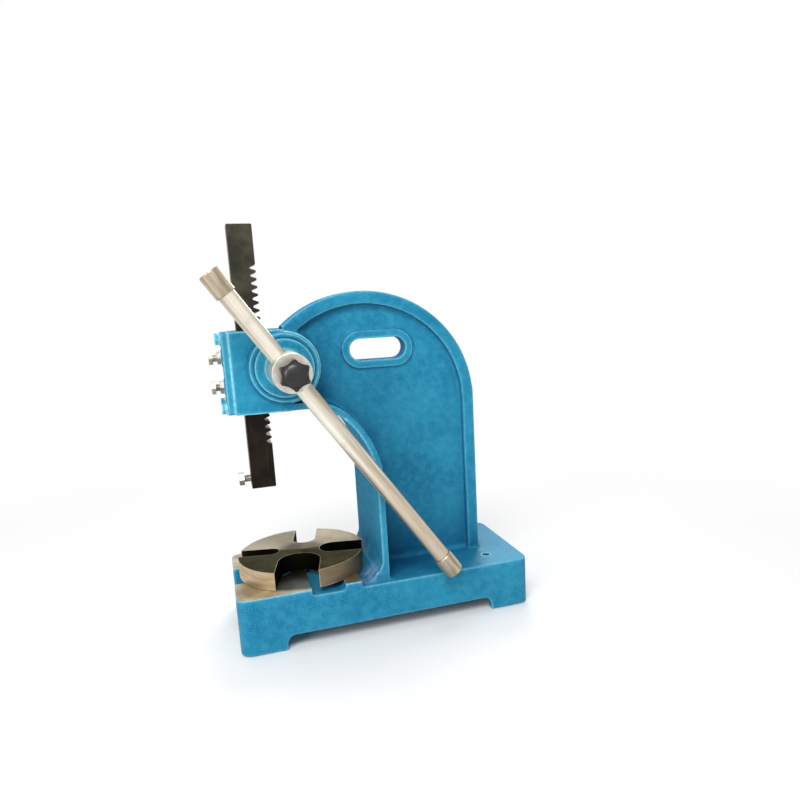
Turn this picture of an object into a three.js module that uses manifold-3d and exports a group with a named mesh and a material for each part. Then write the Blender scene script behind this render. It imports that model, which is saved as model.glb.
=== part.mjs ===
// A bench arbor press: a cast iron C frame carries a square rack ram, which a
// pinion shaft drives down onto a slotted turning plate when its lever is pulled.
// Millimetres, +Z up. The origin is the centre of the turning plate's top face.
// +X runs from the ram to the column, and the lever and its knob are on the -Y side.

import * as THREE from 'three';
import { mergeVertices } from 'three/addons/utils/BufferGeometryUtils.js';
import Module from 'manifold-3d';

const wasm = await Module();
wasm.setup();

// Clearances that are shared by many pieces
const seatGap = 0.3;
const cutOverrun = 1;
const embed = 4;

// Turning plate
const plateRadius = 88.5;
const plateThickness = 25;
const plateBevel = 1.5;
const plateRestTurn = THREE.MathUtils.degToRad(-12);
const slotWidths = [58, 38, 32, 24];
const slotFirstTurn = THREE.MathUtils.degToRad(-90);

// Rack ram
const ramOffset = 44;
const ramSide = 32;
const ramLength = 348;
const ramRestHeight = 102;
const ramBevel = 1;
const toolSocketRadius = 8;
const toolSocketDepth = 40;

// Rack teeth and pinion teeth
const gearModule = 3.175;
const pinionTeeth = 16;
const pressureAngle = THREE.MathUtils.degToRad(20);
const toothBacklash = 0.4;
const rackPlainBelow = 60;
const rackPlainAbove = 50;

// Head of the frame
const headBelowPinion = 57.7;
const headAbovePinion = 49.3;
const headWidth = 90;
const headFrontReach = 28;
const headCornerRadius = 4;
const pinionHeight = 265.7;

// Bosses on both sides of the head
const bossRadius = 44.4;
const bossReach = 52;
const bossRingRadius = 38;
const bossRingReach = 57;
const bossBevel = 1;
const bossFlareRadius = 60;
const oilHoleRadius = 2.5;
const oilHoleInset = 12;

// Base of the frame
const baseFrontReach = 97.4;
const baseRearReach = 316;
const baseWidth = 184;
const baseBodyHeight = 70;
const baseCornerRadius = 15;
const baseTopThickness = 17;
const baseWallThickness = 15;
const padHeight = 8.5;
const grooveWidth = 45;
const rearStripWidth = 23;
const baseSlotWidth = 58;
const archHeight = 19;
const archFilletRadius = 10;
const footLength = 61;
const mountHoleRadius = 6;
const mountHoleInset = 51;
const mountHoleSpacing = 104;

// Column and web of the frame
const columnFront = 100;
const columnFlange = 10;
const columnWidth = 160;
const columnFootFillet = 30;
const throatCentreX = 22;
const throatCentreHeight = 110;
const webThickness = 20;
const webCoveRadius = 8;
const rimThickness = 40;
const rimWidth = 17.8;
const archCentreX = 106.6;
const archCentreBelowHead = 114.6;
const archRadius = 160.3;

// Grip slot in the web
const gripLength = 80;
const gripHeight = 30;
const gripCentreX = 128;
const gripCentreAboveArch = 80.1;
const gripRingWidth = 11;
const gripRingThickness = 28;

// Pivot pin under the plate
const pivotRadius = 6;
const pivotRise = 14;
const pivotDepth = 13;

// Cover plate, gib and their fasteners
const coverThickness = 8.5;
const coverBossRadius = 11.5;
const coverBossHeight = 1.5;
const coverCornerRadius = 5;
const coverEdgeInset = 0.8;
const gibThickness = 8;
const gibDimpleDepth = 2;
const coverBoltRadius = 4;
const coverBoltLength = 25;
const coverBoltHeadWidth = 13;
const coverBoltHeadHeight = 5.3;
const coverBoltSpacingY = 66;
const coverBoltInset = 9;
const washerRadius = 8;
const washerThickness = 1.6;
const adjusterRadius = 5;
const adjusterHeadWidth = 16;
const adjusterHeadHeight = 5.4;
const adjusterReach = 98.2;
const adjusterSpacing = 39;
const jamNutHeight = 5;

// Pinion shaft and its far bush
const shaftRadius = 24;
const shaftHubReach = 138;
const shaftBevel = 1.5;
const gearFaceWidth = 33;
const shaftRunningGap = 0.3;
const gearPocketGap = 0.6;
const farJournalRadius = 18;
const bushFlangeThickness = 6;
const bushScrewRadius = 2.5;
const bushScrewLength = 14;
const bushScrewHeadRadius = 4.5;
const bushScrewHeadHeight = 3.2;
const bushScrewCircle = 33.3;
const bushScrewCount = 3;
const centreDrillRadius = 4;

// Lever bar and its end caps
const leverReach = 107;
const leverRadius = 11;
const leverUpperLength = 145;
const leverLowerLength = 355;
const leverAngle = THREE.MathUtils.degToRad(55.6);
const leverHoleGap = 0.35;
const capRadius = 13;
const capLength = 31;
const capFloor = 4;
const capBevel = 1.5;

// Clamp knob and its stud
const studRadius = 5;
const studShow = 6;
const knobLobeRadius = 19;
const knobWaistRadius = 15.5;
const knobLobes = 6;
const knobBodyThickness = 14;
const knobEdgeBevel = 2;
const knobNeckRadius = 9.5;
const knobNeckLength = 7;
const knobCrownRadius = 11;
const knobCrownHeight = 4;

// Set screw that holds a tool in the ram
const toolScrewRadius = 5;
const toolScrewHeight = 12;
const toolScrewShow = 9;
const toolScrewHeadHeight = 7;
const toolScrewHeadWidth = 16;

// How finely round faces are cut
const fineSides = 60;
const roundSides = 40;
const smallSides = 20;
const arcSteps = 6;

// Places worked out from the sizes above
const ramX = -ramOffset;
const ramHalf = ramSide / 2;
const ramBackX = ramX + ramHalf;
const ramFrontX = ramX - ramHalf;
const ramTopHeight = ramRestHeight + ramLength;
const pitchRadius = gearModule * pinionTeeth / 2;
const gearTipRadius = pitchRadius + gearModule;
const toothDepthBelowPitchShare = 1.25;
const gearRootRadius = pitchRadius - gearModule * toothDepthBelowPitchShare;
const pinionX = ramBackX - gearModule + pitchRadius;
const padTopHeight = -plateThickness - seatGap;
const castTopHeight = padTopHeight - padHeight;
const benchHeight = castTopHeight - baseBodyHeight;
const baseHalf = baseWidth / 2;
const headHalf = headWidth / 2;
const headFrontX = ramX - headFrontReach;
const coverBackX = headFrontX - seatGap;
const coverFrontX = coverBackX - coverThickness;
const channelHalf = ramHalf + seatGap;
const nearBoreRadius = shaftRadius + shaftRunningGap;
const gearPocketRadius = gearTipRadius + gearPocketGap;
const gearPocketHalf = gearFaceWidth / 2 + gearPocketGap;
const columnHalf = columnWidth / 2;
const webRearX = archCentreX + archRadius;
const headBottomHeight = pinionHeight - headBelowPinion;
const headTopHeight = pinionHeight + headAbovePinion;
const headMiddleHeight = (headBottomHeight + headTopHeight) / 2;
const archCentreHeight = headTopHeight - archCentreBelowHead;
const gripCentreHeight = archCentreHeight + gripCentreAboveArch;
const adjusterHeights = [-1, 1].map((side) => headMiddleHeight + side * adjusterSpacing / 2);
const coverBoltHeights = [headBottomHeight + coverBoltInset, headTopHeight - coverBoltInset];

// Finishes
const bluePaint = () => finish(0x2f86ad, 0.42, 0.35);
const machinedIron = () => finish(0x8d8478, 0.5, 0.75);
const blackOxide = () => finish(0x1d1a17, 0.5, 0.55);
const satinSteel = () => finish(0xb8b0a2, 0.32, 0.9);
const zincSteel = () => finish(0xc9ccd0, 0.3, 0.9);
const blackPlastic = () => finish(0x121211, 0.22, 0);

function finish(color, roughness, metalness) {
  return new THREE.MeshStandardMaterial({ color, roughness, metalness });
}

// Turns a closed geometry into a solid, whichever way its faces were wound
function solidOf(geometry) {
  const bare = geometry.index ? geometry.toNonIndexed() : geometry.clone();
  bare.deleteAttribute('normal');
  bare.deleteAttribute('uv');
  const merged = mergeVertices(bare);
  const vertProperties = Float32Array.from(merged.attributes.position.array);
  const corners = Uint32Array.from(merged.index.array);
  const kept = [];
  for (let i = 0; i < corners.length; i += 3) {
    const [a, b, c] = corners.slice(i, i + 3);
    if (a !== b && b !== c && c !== a) kept.push(a, b, c);
  }
  if (enclosedVolume(vertProperties, kept) < 0) kept.reverse();
  return new wasm.Manifold(new wasm.Mesh({ numProp: 3, vertProperties, triVerts: Uint32Array.from(kept) }));
}

function enclosedVolume(points, corners) {
  const at = (i) => new THREE.Vector3(points[3 * i], points[3 * i + 1], points[3 * i + 2]);
  let sixfold = 0;
  for (let i = 0; i < corners.length; i += 3) {
    sixfold += at(corners[i]).dot(at(corners[i + 1]).cross(at(corners[i + 2])));
  }
  return sixfold / 6;
}

function geometryOf(solid) {
  const mesh = solid.getMesh();
  const geometry = new THREE.BufferGeometry();
  geometry.setAttribute('position', new THREE.BufferAttribute(Float32Array.from(mesh.vertProperties), 3));
  geometry.setIndex(new THREE.BufferAttribute(Uint32Array.from(mesh.triVerts), 1));
  geometry.computeVertexNormals();
  return geometry;
}

const join = (...solids) => solids.reduce((whole, next) => whole.add(next));
const cut = (body, ...tools) => tools.reduce((left, tool) => left.subtract(tool), body);

// Extrusions of a flat shape along each axis: a side view, a plan and a front view
function alongY(shape, fromY, toY, curveSegments = arcSteps) {
  const geometry = new THREE.ExtrudeGeometry(shape, { depth: toY - fromY, bevelEnabled: false, curveSegments });
  return solidOf(geometry.rotateX(Math.PI / 2).translate(0, toY, 0));
}

function alongZ(shape, fromZ, toZ, curveSegments = arcSteps) {
  const geometry = new THREE.ExtrudeGeometry(shape, { depth: toZ - fromZ, bevelEnabled: false, curveSegments });
  return solidOf(geometry.translate(0, 0, fromZ));
}

function alongX(shape, fromX, toX, curveSegments = arcSteps) {
  const geometry = new THREE.ExtrudeGeometry(shape, { depth: toX - fromX, bevelEnabled: false, curveSegments });
  return solidOf(geometry.rotateX(Math.PI / 2).rotateZ(Math.PI / 2).translate(fromX, 0, 0));
}

function block(fromX, toX, fromY, toY, fromZ, toZ) {
  const geometry = new THREE.BoxGeometry(toX - fromX, toY - fromY, toZ - fromZ);
  return solidOf(geometry.translate((fromX + toX) / 2, (fromY + toY) / 2, (fromZ + toZ) / 2));
}

// Solids of revolution: each profile is a list of [radius, place along the axis]
function turned(profile, sides) {
  return new THREE.LatheGeometry(profile.map(([r, along]) => new THREE.Vector2(r, along)), sides);
}

function turnedAboutY(profile, x, z, sides = roundSides) {
  return solidOf(turned(profile, sides).translate(x, 0, z));
}

function turnedAboutZ(profile, x, y, sides = roundSides) {
  return solidOf(turned(profile, sides).rotateX(Math.PI / 2).translate(x, y, 0));
}

function turnedAboutX(profile, y, z, sides = roundSides) {
  return solidOf(turned(profile, sides).rotateZ(-Math.PI / 2).translate(0, y, z));
}

// A plain rod's profile, with an optional bevel at each end
function rodProfile(radius, from, to, bevel = 0) {
  if (bevel === 0) return [[0, from], [radius, from], [radius, to], [0, to]];
  return [[0, from], [radius - bevel, from], [radius, from + bevel], [radius, to - bevel], [radius - bevel, to], [0, to]];
}

function roundedRectangle(fromU, toU, fromV, toV, radius) {
  const shape = new THREE.Shape();
  shape.moveTo(fromU + radius, fromV);
  shape.lineTo(toU - radius, fromV);
  shape.absarc(toU - radius, fromV + radius, radius, -Math.PI / 2, 0);
  shape.lineTo(toU, toV - radius);
  shape.absarc(toU - radius, toV - radius, radius, 0, Math.PI / 2);
  shape.lineTo(fromU + radius, toV);
  shape.absarc(fromU + radius, toV - radius, radius, Math.PI / 2, Math.PI);
  shape.lineTo(fromU, fromV + radius);
  shape.absarc(fromU + radius, fromV + radius, radius, Math.PI, Math.PI * 1.5);
  return shape;
}

function polygon(points) {
  return new THREE.Shape(points.map(([u, v]) => new THREE.Vector2(u, v)));
}

// A slot with a round end at (centreU, 0), open towards larger u
function openSlot(centreU, toU, width) {
  const half = width / 2;
  const shape = new THREE.Shape();
  shape.moveTo(toU, -half);
  shape.lineTo(toU, half);
  shape.lineTo(centreU, half);
  shape.absarc(centreU, 0, half, Math.PI / 2, Math.PI * 1.5);
  return shape;
}

function hexagon(widthAcrossFlats) {
  const corner = widthAcrossFlats / Math.sqrt(3);
  return polygon(Array.from({ length: 6 }, (_, i) => {
    const turn = (i + 0.5) * Math.PI / 3;
    return [corner * Math.cos(turn), corner * Math.sin(turn)];
  }));
}

// The frame's base: machined pads over a hollow cast body on two feet
function baseSolid() {
  const plan = roundedRectangle(-baseFrontReach, baseRearReach, -baseHalf, baseHalf, baseCornerRadius);
  const body = alongZ(plan, benchHeight, padTopHeight);
  const acrossFrom = -baseHalf - cutOverrun;
  const acrossTo = baseHalf + cutOverrun;
  const above = padTopHeight + cutOverrun;
  const below = benchHeight - cutOverrun;
  const groove = block(0, grooveWidth, acrossFrom, acrossTo, castTopHeight, above);
  const stripRear = grooveWidth + rearStripWidth;
  const rearRelief = block(stripRear, baseRearReach + cutOverrun, acrossFrom, acrossTo, castTopHeight, above);
  const slotPlan = openSlot(ramOffset, baseFrontReach + cutOverrun, baseSlotWidth);
  const slot = alongZ(slotPlan, below, above, 2 * arcSteps).rotate([0, 0, 180]);
  const slotEnd = ramX + baseSlotWidth / 2;
  const hollowPlan = roundedRectangle(
    slotEnd + baseWallThickness, baseRearReach - baseWallThickness,
    -baseHalf + baseWallThickness, baseHalf - baseWallThickness, archFilletRadius);
  const hollow = alongZ(hollowPlan, below, castTopHeight - baseTopThickness);
  const archFrom = -baseFrontReach + footLength;
  const archTo = baseRearReach - footLength;
  const archSide = roundedRectangle(archFrom, archTo, below - archFilletRadius, benchHeight + archHeight, archFilletRadius);
  const arch = alongY(archSide, acrossFrom, acrossTo);
  const pivotHole = turnedAboutZ(
    rodProfile(pivotRadius + seatGap, castTopHeight - pivotDepth - seatGap, above), 0, 0, smallSides);
  const holeX = baseRearReach - mountHoleInset;
  const mountHoles = [-1, 1].map((side) => turnedAboutZ(
    rodProfile(mountHoleRadius, below, above), holeX, side * mountHoleSpacing / 2, smallSides));
  return cut(body, groove, rearRelief, slot, hollow, arch, pivotHole, ...mountHoles);
}

// The throat: a vertical column face that sweeps over into the head's underside
function throatPath(shape, grow, reverse) {
  const radiusX = columnFront - throatCentreX + grow;
  const radiusZ = headBottomHeight - throatCentreHeight + grow;
  if (reverse) {
    shape.lineTo(throatCentreX, throatCentreHeight + radiusZ);
    shape.absellipse(throatCentreX, throatCentreHeight, radiusX, radiusZ, Math.PI / 2, 0, true);
  } else {
    shape.lineTo(throatCentreX + radiusX, throatCentreHeight);
    shape.absellipse(throatCentreX, throatCentreHeight, radiusX, radiusZ, 0, Math.PI / 2, false);
  }
}

// The wide front flange of the column, which narrows to the head's width
function flangeSolid() {
  const side = new THREE.Shape();
  const foot = castTopHeight - embed;
  const headEmbedX = pinionX - embed;
  side.moveTo(columnFront, foot);
  throatPath(side, 0, false);
  side.lineTo(headEmbedX, headBottomHeight);
  side.lineTo(headEmbedX, headBottomHeight + columnFlange);
  throatPath(side, columnFlange, true);
  side.lineTo(columnFront + columnFlange, foot);
  const swept = alongY(side, -columnHalf, columnHalf, 3 * arcSteps);
  const rise = headBottomHeight - throatCentreHeight;
  const narrowing = (share) => headHalf + (columnHalf - headHalf) * (1 + Math.cos(Math.PI * share)) / 2;
  const edge = Array.from({ length: 2 * arcSteps + 1 }, (_, i) => {
    const share = i / (2 * arcSteps);
    return [narrowing(share), throatCentreHeight + rise * share];
  });
  const top = [headHalf, headBottomHeight + columnFlange + cutOverrun];
  const rightSide = [[columnHalf, foot - cutOverrun], ...edge, top];
  const leftSide = rightSide.map(([y, z]) => [-y, z]).reverse();
  const front = alongX(polygon([...rightSide, ...leftSide]), headEmbedX - cutOverrun, columnFront + 2 * columnFlange);
  return swept.intersect(front);
}

// The cove where the column's front face runs into the base
function footFilletSolid() {
  const side = new THREE.Shape();
  const from = columnFront - columnFootFillet;
  side.moveTo(from, castTopHeight);
  side.absarc(from, castTopHeight + columnFootFillet, columnFootFillet, -Math.PI / 2, 0);
  side.lineTo(columnFront + columnFlange / 2, castTopHeight + columnFootFillet);
  side.lineTo(columnFront + columnFlange / 2, castTopHeight - embed);
  side.lineTo(from, castTopHeight - embed);
  return alongY(side, -columnHalf, columnHalf);
}

// The round-backed web with its thick rim, thinned on both faces inside the rim
function webSolid() {
  const foot = castTopHeight - embed;
  const middle = columnFlange / 2;
  const headEmbedX = pinionX - 3 * embed;
  const startHeight = headTopHeight - embed;
  const outerStart = Math.PI - Math.asin((startHeight - archCentreHeight) / archRadius);
  const outline = new THREE.Shape();
  outline.moveTo(columnFront + middle, foot);
  throatPath(outline, middle, false);
  outline.lineTo(headEmbedX, headBottomHeight + middle);
  outline.lineTo(headEmbedX, startHeight);
  outline.absarc(archCentreX, archCentreHeight, archRadius, outerStart, 0, true);
  outline.lineTo(webRearX, foot);
  const slab = alongY(outline, -rimThickness / 2, rimThickness / 2, 5 * arcSteps);
  const innerRadius = archRadius - rimWidth;
  const innerStart = Math.PI - Math.acos((archCentreX - pinionX) / innerRadius);
  const pocket = new THREE.Shape();
  pocket.moveTo(columnFront + middle, foot);
  throatPath(pocket, middle, false);
  pocket.lineTo(pinionX, headBottomHeight + middle);
  pocket.absarc(archCentreX, archCentreHeight, innerRadius, innerStart, 0, true);
  pocket.lineTo(webRearX - rimWidth, foot);
  const rimFace = rimThickness / 2 + cutOverrun;
  const pockets = [[-rimFace, -webThickness / 2], [webThickness / 2, rimFace]].map(
    ([from, to]) => alongY(pocket, from, to, 5 * arcSteps));
  return cut(slab, ...pockets);
}

// The coves along the foot of the web, on both of its faces
function webCoveSolids() {
  const fromX = columnFront + columnFlange / 2;
  const toX = webRearX - rimWidth / 2;
  const face = webThickness / 2;
  return [-1, 1].map((side) => {
    const section = new THREE.Shape();
    const centreY = side * (face + webCoveRadius);
    const centreZ = castTopHeight + webCoveRadius;
    const [start, end] = side < 0 ? [-Math.PI / 2, 0] : [-Math.PI / 2, -Math.PI];
    section.moveTo(centreY, castTopHeight - embed);
    section.lineTo(centreY, castTopHeight);
    section.absarc(centreY, centreZ, webCoveRadius, start, end, side > 0);
    section.lineTo(side * (face - embed), centreZ);
    section.lineTo(side * (face - embed), castTopHeight - embed);
    return alongX(section, fromX, toX);
  });
}

// The stepped bosses around the pinion bore, flaring into the web behind them
function bossSolid() {
  const flareReach = webThickness / 2;
  const flareSteps = 6;
  const flare = Array.from({ length: flareSteps + 1 }, (_, i) => {
    const turn = i / flareSteps * Math.PI / 2;
    const r = bossFlareRadius - (bossFlareRadius - bossRadius) * Math.cos(turn);
    return [r, -headHalf + (headHalf - flareReach) * Math.sin(turn)];
  });
  const nearSide = [
    [0, -bossRingReach], [bossRingRadius - bossBevel, -bossRingReach], [bossRingRadius, -bossRingReach + bossBevel],
    [bossRingRadius, -bossReach], [bossRadius - bossBevel, -bossReach], [bossRadius, -bossReach + bossBevel], ...flare];
  const farSide = nearSide.map(([r, along]) => [r, -along]).reverse();
  return turnedAboutY([...nearSide, ...farSide], pinionX, pinionHeight, fineSides);
}

// The flare trimmed to what lies behind the head and inside the web's outline
function bossBehindHead() {
  const reach = bossRingReach + cutOverrun;
  const outline = new THREE.Shape();
  const startHeight = headTopHeight;
  const outerStart = Math.PI - Math.asin((startHeight - archCentreHeight) / archRadius);
  const farSide = pinionX + bossFlareRadius + cutOverrun;
  const outerEnd = Math.PI - Math.acos((archCentreX - farSide) / archRadius);
  outline.moveTo(pinionX - bossFlareRadius, headBottomHeight);
  outline.lineTo(farSide, headBottomHeight);
  outline.absarc(archCentreX, archCentreHeight, archRadius, outerEnd, outerStart, false);
  outline.lineTo(pinionX - bossFlareRadius, startHeight);
  return bossSolid().intersect(alongY(outline, -reach, reach, 2 * arcSteps));
}

function headSolid() {
  const toX = pinionX + headCornerRadius;
  const plan = roundedRectangle(headFrontX, toX, -headHalf, headHalf, headCornerRadius);
  return alongZ(plan, headBottomHeight, headTopHeight, 3);
}

// The obround grip slot, with its raised ring on both faces of the web
function gripOutline(grow) {
  const radius = gripHeight / 2 + grow;
  const fromX = gripCentreX - gripLength / 2 - grow;
  const toX = gripCentreX + gripLength / 2 + grow;
  return roundedRectangle(fromX, toX, gripCentreHeight - radius, gripCentreHeight + radius, radius);
}

// What is bored and milled out of the head
function headCuts() {
  const below = headBottomHeight - cutOverrun;
  const above = headTopHeight + cutOverrun;
  const channel = block(headFrontX - cutOverrun, ramBackX + seatGap, -channelHalf, channelHalf, below, above);
  const nearBore = turnedAboutY(
    rodProfile(nearBoreRadius, -bossRingReach - cutOverrun, 0), pinionX, pinionHeight);
  const gearPocket = turnedAboutY(
    rodProfile(gearPocketRadius, -gearPocketHalf, bossRingReach + cutOverrun), pinionX, pinionHeight);
  const boltHoles = coverBoltHeights.flatMap((z) => [-1, 1].map((side) => turnedAboutX(
    rodProfile(coverBoltRadius + seatGap, headFrontX - cutOverrun, headFrontX + coverBoltLength),
    side * coverBoltSpacingY / 2, z, smallSides)));
  const screwHoles = bushScrewTurns().map((turn) => turnedAboutY(
    rodProfile(bushScrewRadius + seatGap, bossRingReach - bushScrewLength, bossRingReach + cutOverrun),
    pinionX + bushScrewCircle * Math.cos(turn), pinionHeight + bushScrewCircle * Math.sin(turn), smallSides));
  const oilHole = turnedAboutZ(
    rodProfile(oilHoleRadius, pinionHeight, pinionHeight + bossFlareRadius),
    pinionX, -bossReach + oilHoleInset, smallSides);
  return [channel, nearBore, gearPocket, ...boltHoles, ...screwHoles, oilHole];
}

function bushScrewTurns() {
  return Array.from({ length: bushScrewCount }, (_, i) => Math.PI / 2 + i * 2 * Math.PI / bushScrewCount);
}

function frameCasting() {
  const ring = alongY(gripOutline(gripRingWidth), -gripRingThickness / 2, gripRingThickness / 2, 2 * arcSteps);
  const gripReach = gripRingThickness / 2 + cutOverrun;
  const gripHole = alongY(gripOutline(0), -gripReach, gripReach, 2 * arcSteps);
  const body = join(
    baseSolid(), flangeSolid(), footFilletSolid(), webSolid(), ...webCoveSolids(), bossBehindHead(), headSolid(), ring);
  return cut(body, gripHole, ...headCuts());
}

function pivotPin() {
  const bottom = castTopHeight - pivotDepth;
  return turnedAboutZ(rodProfile(pivotRadius, bottom, padTopHeight + pivotRise, plateBevel), 0, 0, smallSides);
}

// The turning plate: four open slots of graded widths, each with its round end under the ram
function arborPlate() {
  const top = [plateRadius - plateBevel, 0];
  const disc = turnedAboutZ([
    [0, -plateThickness], [plateRadius - plateBevel, -plateThickness], [plateRadius, -plateThickness + plateBevel],
    [plateRadius, -plateBevel], top, [0, 0]], 0, 0, fineSides);
  const slots = slotWidths.map((width, i) => {
    const turn = slotFirstTurn + plateRestTurn + i * Math.PI / 2;
    const plan = openSlot(ramOffset, plateRadius + cutOverrun, width);
    const tool = alongZ(plan, -plateThickness - cutOverrun, cutOverrun, 2 * arcSteps);
    return tool.rotate([0, 0, THREE.MathUtils.radToDeg(turn)]);
  });
  const pivotHole = turnedAboutZ(rodProfile(
    pivotRadius + seatGap, -plateThickness - cutOverrun, padTopHeight + pivotRise + seatGap), 0, 0, smallSides);
  return cut(disc, ...slots, pivotHole);
}

// The ram: a square bar with a rack cut in the face that looks to the column
function ram() {
  const pitch = Math.PI * gearModule;
  const rootX = ramBackX - gearModule * (1 + toothDepthBelowPitchShare);
  const lean = Math.tan(pressureAngle);
  const pitchHalf = pitch / 4 + toothBacklash / 4;
  const mouthHalf = pitchHalf + gearModule * lean;
  const rootHalf = pitchHalf - gearModule * toothDepthBelowPitchShare * lean;
  const points = [
    [ramFrontX, ramRestHeight + ramBevel], [ramFrontX + ramBevel, ramRestHeight],
    [ramBackX - ramBevel, ramRestHeight], [ramBackX, ramRestHeight + ramBevel]];
  const firstSpace = Math.ceil((ramRestHeight + rackPlainBelow - pinionHeight) / pitch);
  const lastSpace = Math.floor((ramTopHeight - rackPlainAbove - pinionHeight) / pitch);
  for (let i = firstSpace; i <= lastSpace; i += 1) {
    const z = pinionHeight + i * pitch;
    points.push([ramBackX, z - mouthHalf], [rootX, z - rootHalf], [rootX, z + rootHalf], [ramBackX, z + mouthHalf]);
  }
  points.push(
    [ramBackX, ramTopHeight - ramBevel], [ramBackX - ramBevel, ramTopHeight],
    [ramFrontX + ramBevel, ramTopHeight], [ramFrontX, ramTopHeight - ramBevel]);
  const bar = alongY(polygon(points), -ramHalf, ramHalf);
  const socket = turnedAboutZ(
    rodProfile(toolSocketRadius, ramRestHeight - cutOverrun, ramRestHeight + toolSocketDepth), ramX, 0, smallSides);
  const screwHole = turnedAboutX(
    rodProfile(toolScrewRadius + seatGap, ramFrontX - cutOverrun, ramX), 0, ramRestHeight + toolScrewHeight, smallSides);
  return cut(bar, socket, screwHole);
}

function toolScrew() {
  const z = ramRestHeight + toolScrewHeight;
  const headBack = ramFrontX - toolScrewShow;
  const shank = turnedAboutX(
    rodProfile(toolScrewRadius, headBack - seatGap, ramX - toolSocketRadius - seatGap), 0, z, smallSides);
  const head = hexHeadAlongX(toolScrewHeadWidth, headBack - toolScrewHeadHeight, headBack, 0, z);
  return join(shank, head);
}

// A hex head or nut whose axis is X: its outer corners are turned off at the front
function hexHeadAlongX(width, fromX, toX, y, z) {
  const shape = hexagon(width);
  const prism = alongX(shape, fromX, toX).translate([0, y, z]);
  const corner = width / Math.sqrt(3);
  const turnOff = (toX - fromX) / 4;
  const crown = turnedAboutX([
    [0, fromX], [width / 2, fromX], [corner + turnOff, fromX + 2 * turnOff],
    [corner + turnOff, toX + cutOverrun], [0, toX + cutOverrun]], y, z, smallSides);
  return prism.intersect(crown);
}

function coverPlate() {
  const margin = headHalf - coverEdgeInset;
  const outline = roundedRectangle(
    -margin, margin, headBottomHeight + coverEdgeInset, headTopHeight - coverEdgeInset, coverCornerRadius);
  const slab = alongX(outline, coverFrontX, coverBackX, 4);
  const bosses = adjusterHeights.map((z) => turnedAboutX(
    rodProfile(coverBossRadius, coverFrontX - coverBossHeight, coverBackX - coverThickness / 2), 0, z, smallSides));
  const adjusterHoles = adjusterHeights.map((z) => turnedAboutX(
    rodProfile(adjusterRadius + seatGap, coverFrontX - 2 * coverBossHeight, coverBackX + cutOverrun), 0, z, smallSides));
  const boltHoles = coverBoltHeights.flatMap((z) => [-1, 1].map((side) => turnedAboutX(
    rodProfile(coverBoltRadius + seatGap, coverFrontX - cutOverrun, coverBackX + cutOverrun),
    side * coverBoltSpacingY / 2, z, smallSides)));
  return cut(join(slab, ...bosses), ...adjusterHoles, ...boltHoles);
}

const gibBackX = ramFrontX - seatGap;
const gibFrontX = gibBackX - gibThickness;

// The gib: a loose strip in the channel that the adjusting screws press on the ram
function gib() {
  const strip = block(
    gibFrontX, gibBackX, -ramHalf, ramHalf, headBottomHeight + coverEdgeInset, headTopHeight - coverEdgeInset);
  const dimples = adjusterHeights.map((z) => turnedAboutX(
    rodProfile(adjusterRadius + seatGap, gibFrontX - cutOverrun, gibFrontX + gibDimpleDepth), 0, z, smallSides));
  return cut(strip, ...dimples);
}

function coverBolt(y, z) {
  const headBack = coverFrontX - washerThickness - 2 * seatGap;
  const shank = turnedAboutX(
    rodProfile(coverBoltRadius, headBack - seatGap, headFrontX + coverBoltLength - 2 * seatGap), y, z, smallSides);
  const head = hexHeadAlongX(coverBoltHeadWidth, headBack - coverBoltHeadHeight, headBack, y, z);
  return join(shank, head);
}

function coverWasher(y, z) {
  const back = coverFrontX - seatGap;
  const disc = turnedAboutX(rodProfile(washerRadius, back - washerThickness, back), y, z, smallSides);
  const hole = turnedAboutX(
    rodProfile(coverBoltRadius + seatGap, back - washerThickness - cutOverrun, back + cutOverrun), y, z, smallSides);
  return cut(disc, hole);
}

function adjustingScrew(z) {
  const headFront = ramX + ramOffset - adjusterReach;
  const headBack = headFront + adjusterHeadHeight;
  const tip = gibFrontX + gibDimpleDepth - seatGap;
  const shank = turnedAboutX(rodProfile(adjusterRadius, headBack - seatGap, tip), 0, z, smallSides);
  return join(shank, hexHeadAlongX(adjusterHeadWidth, headFront, headBack, 0, z));
}

function jamNut(z) {
  const back = coverFrontX - coverBossHeight - seatGap;
  const nut = hexHeadAlongX(adjusterHeadWidth, back - jamNutHeight, back, 0, z);
  const thread = turnedAboutX(
    rodProfile(adjusterRadius + seatGap, back - jamNutHeight - cutOverrun, back + cutOverrun), 0, z, smallSides);
  return cut(nut, thread);
}

// One turn of the pinion's outline, with involute flanks above the base circle
function pinionOutline() {
  const baseRadius = pitchRadius * Math.cos(pressureAngle);
  const involute = (angle) => Math.tan(angle) - angle;
  const pitchHalfTurn = Math.PI / (2 * pinionTeeth) - toothBacklash / (4 * pitchRadius);
  const flankRadiusShares = [0, 0.15, 0.45, 0.75, 1];
  const flank = flankRadiusShares.map((share) => {
    const r = baseRadius + (gearTipRadius - baseRadius) * share;
    const half = pitchHalfTurn + involute(pressureAngle) - involute(Math.acos(baseRadius / r));
    return [r, half];
  });
  const footHalf = flank[0][1] - toothBacklash / (2 * baseRadius);
  const rising = [[gearRootRadius, footHalf], ...flank];
  const tooth = [...rising.map(([r, half]) => [r, -half]), ...rising.map(([r, half]) => [r, half]).reverse()];
  return Array.from({ length: pinionTeeth }, (_, i) => tooth.map(([r, offset]) => {
    const turn = Math.PI + i * 2 * Math.PI / pinionTeeth + offset;
    return [pinionX + r * Math.cos(turn), pinionHeight + r * Math.sin(turn)];
  })).flat();
}

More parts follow.
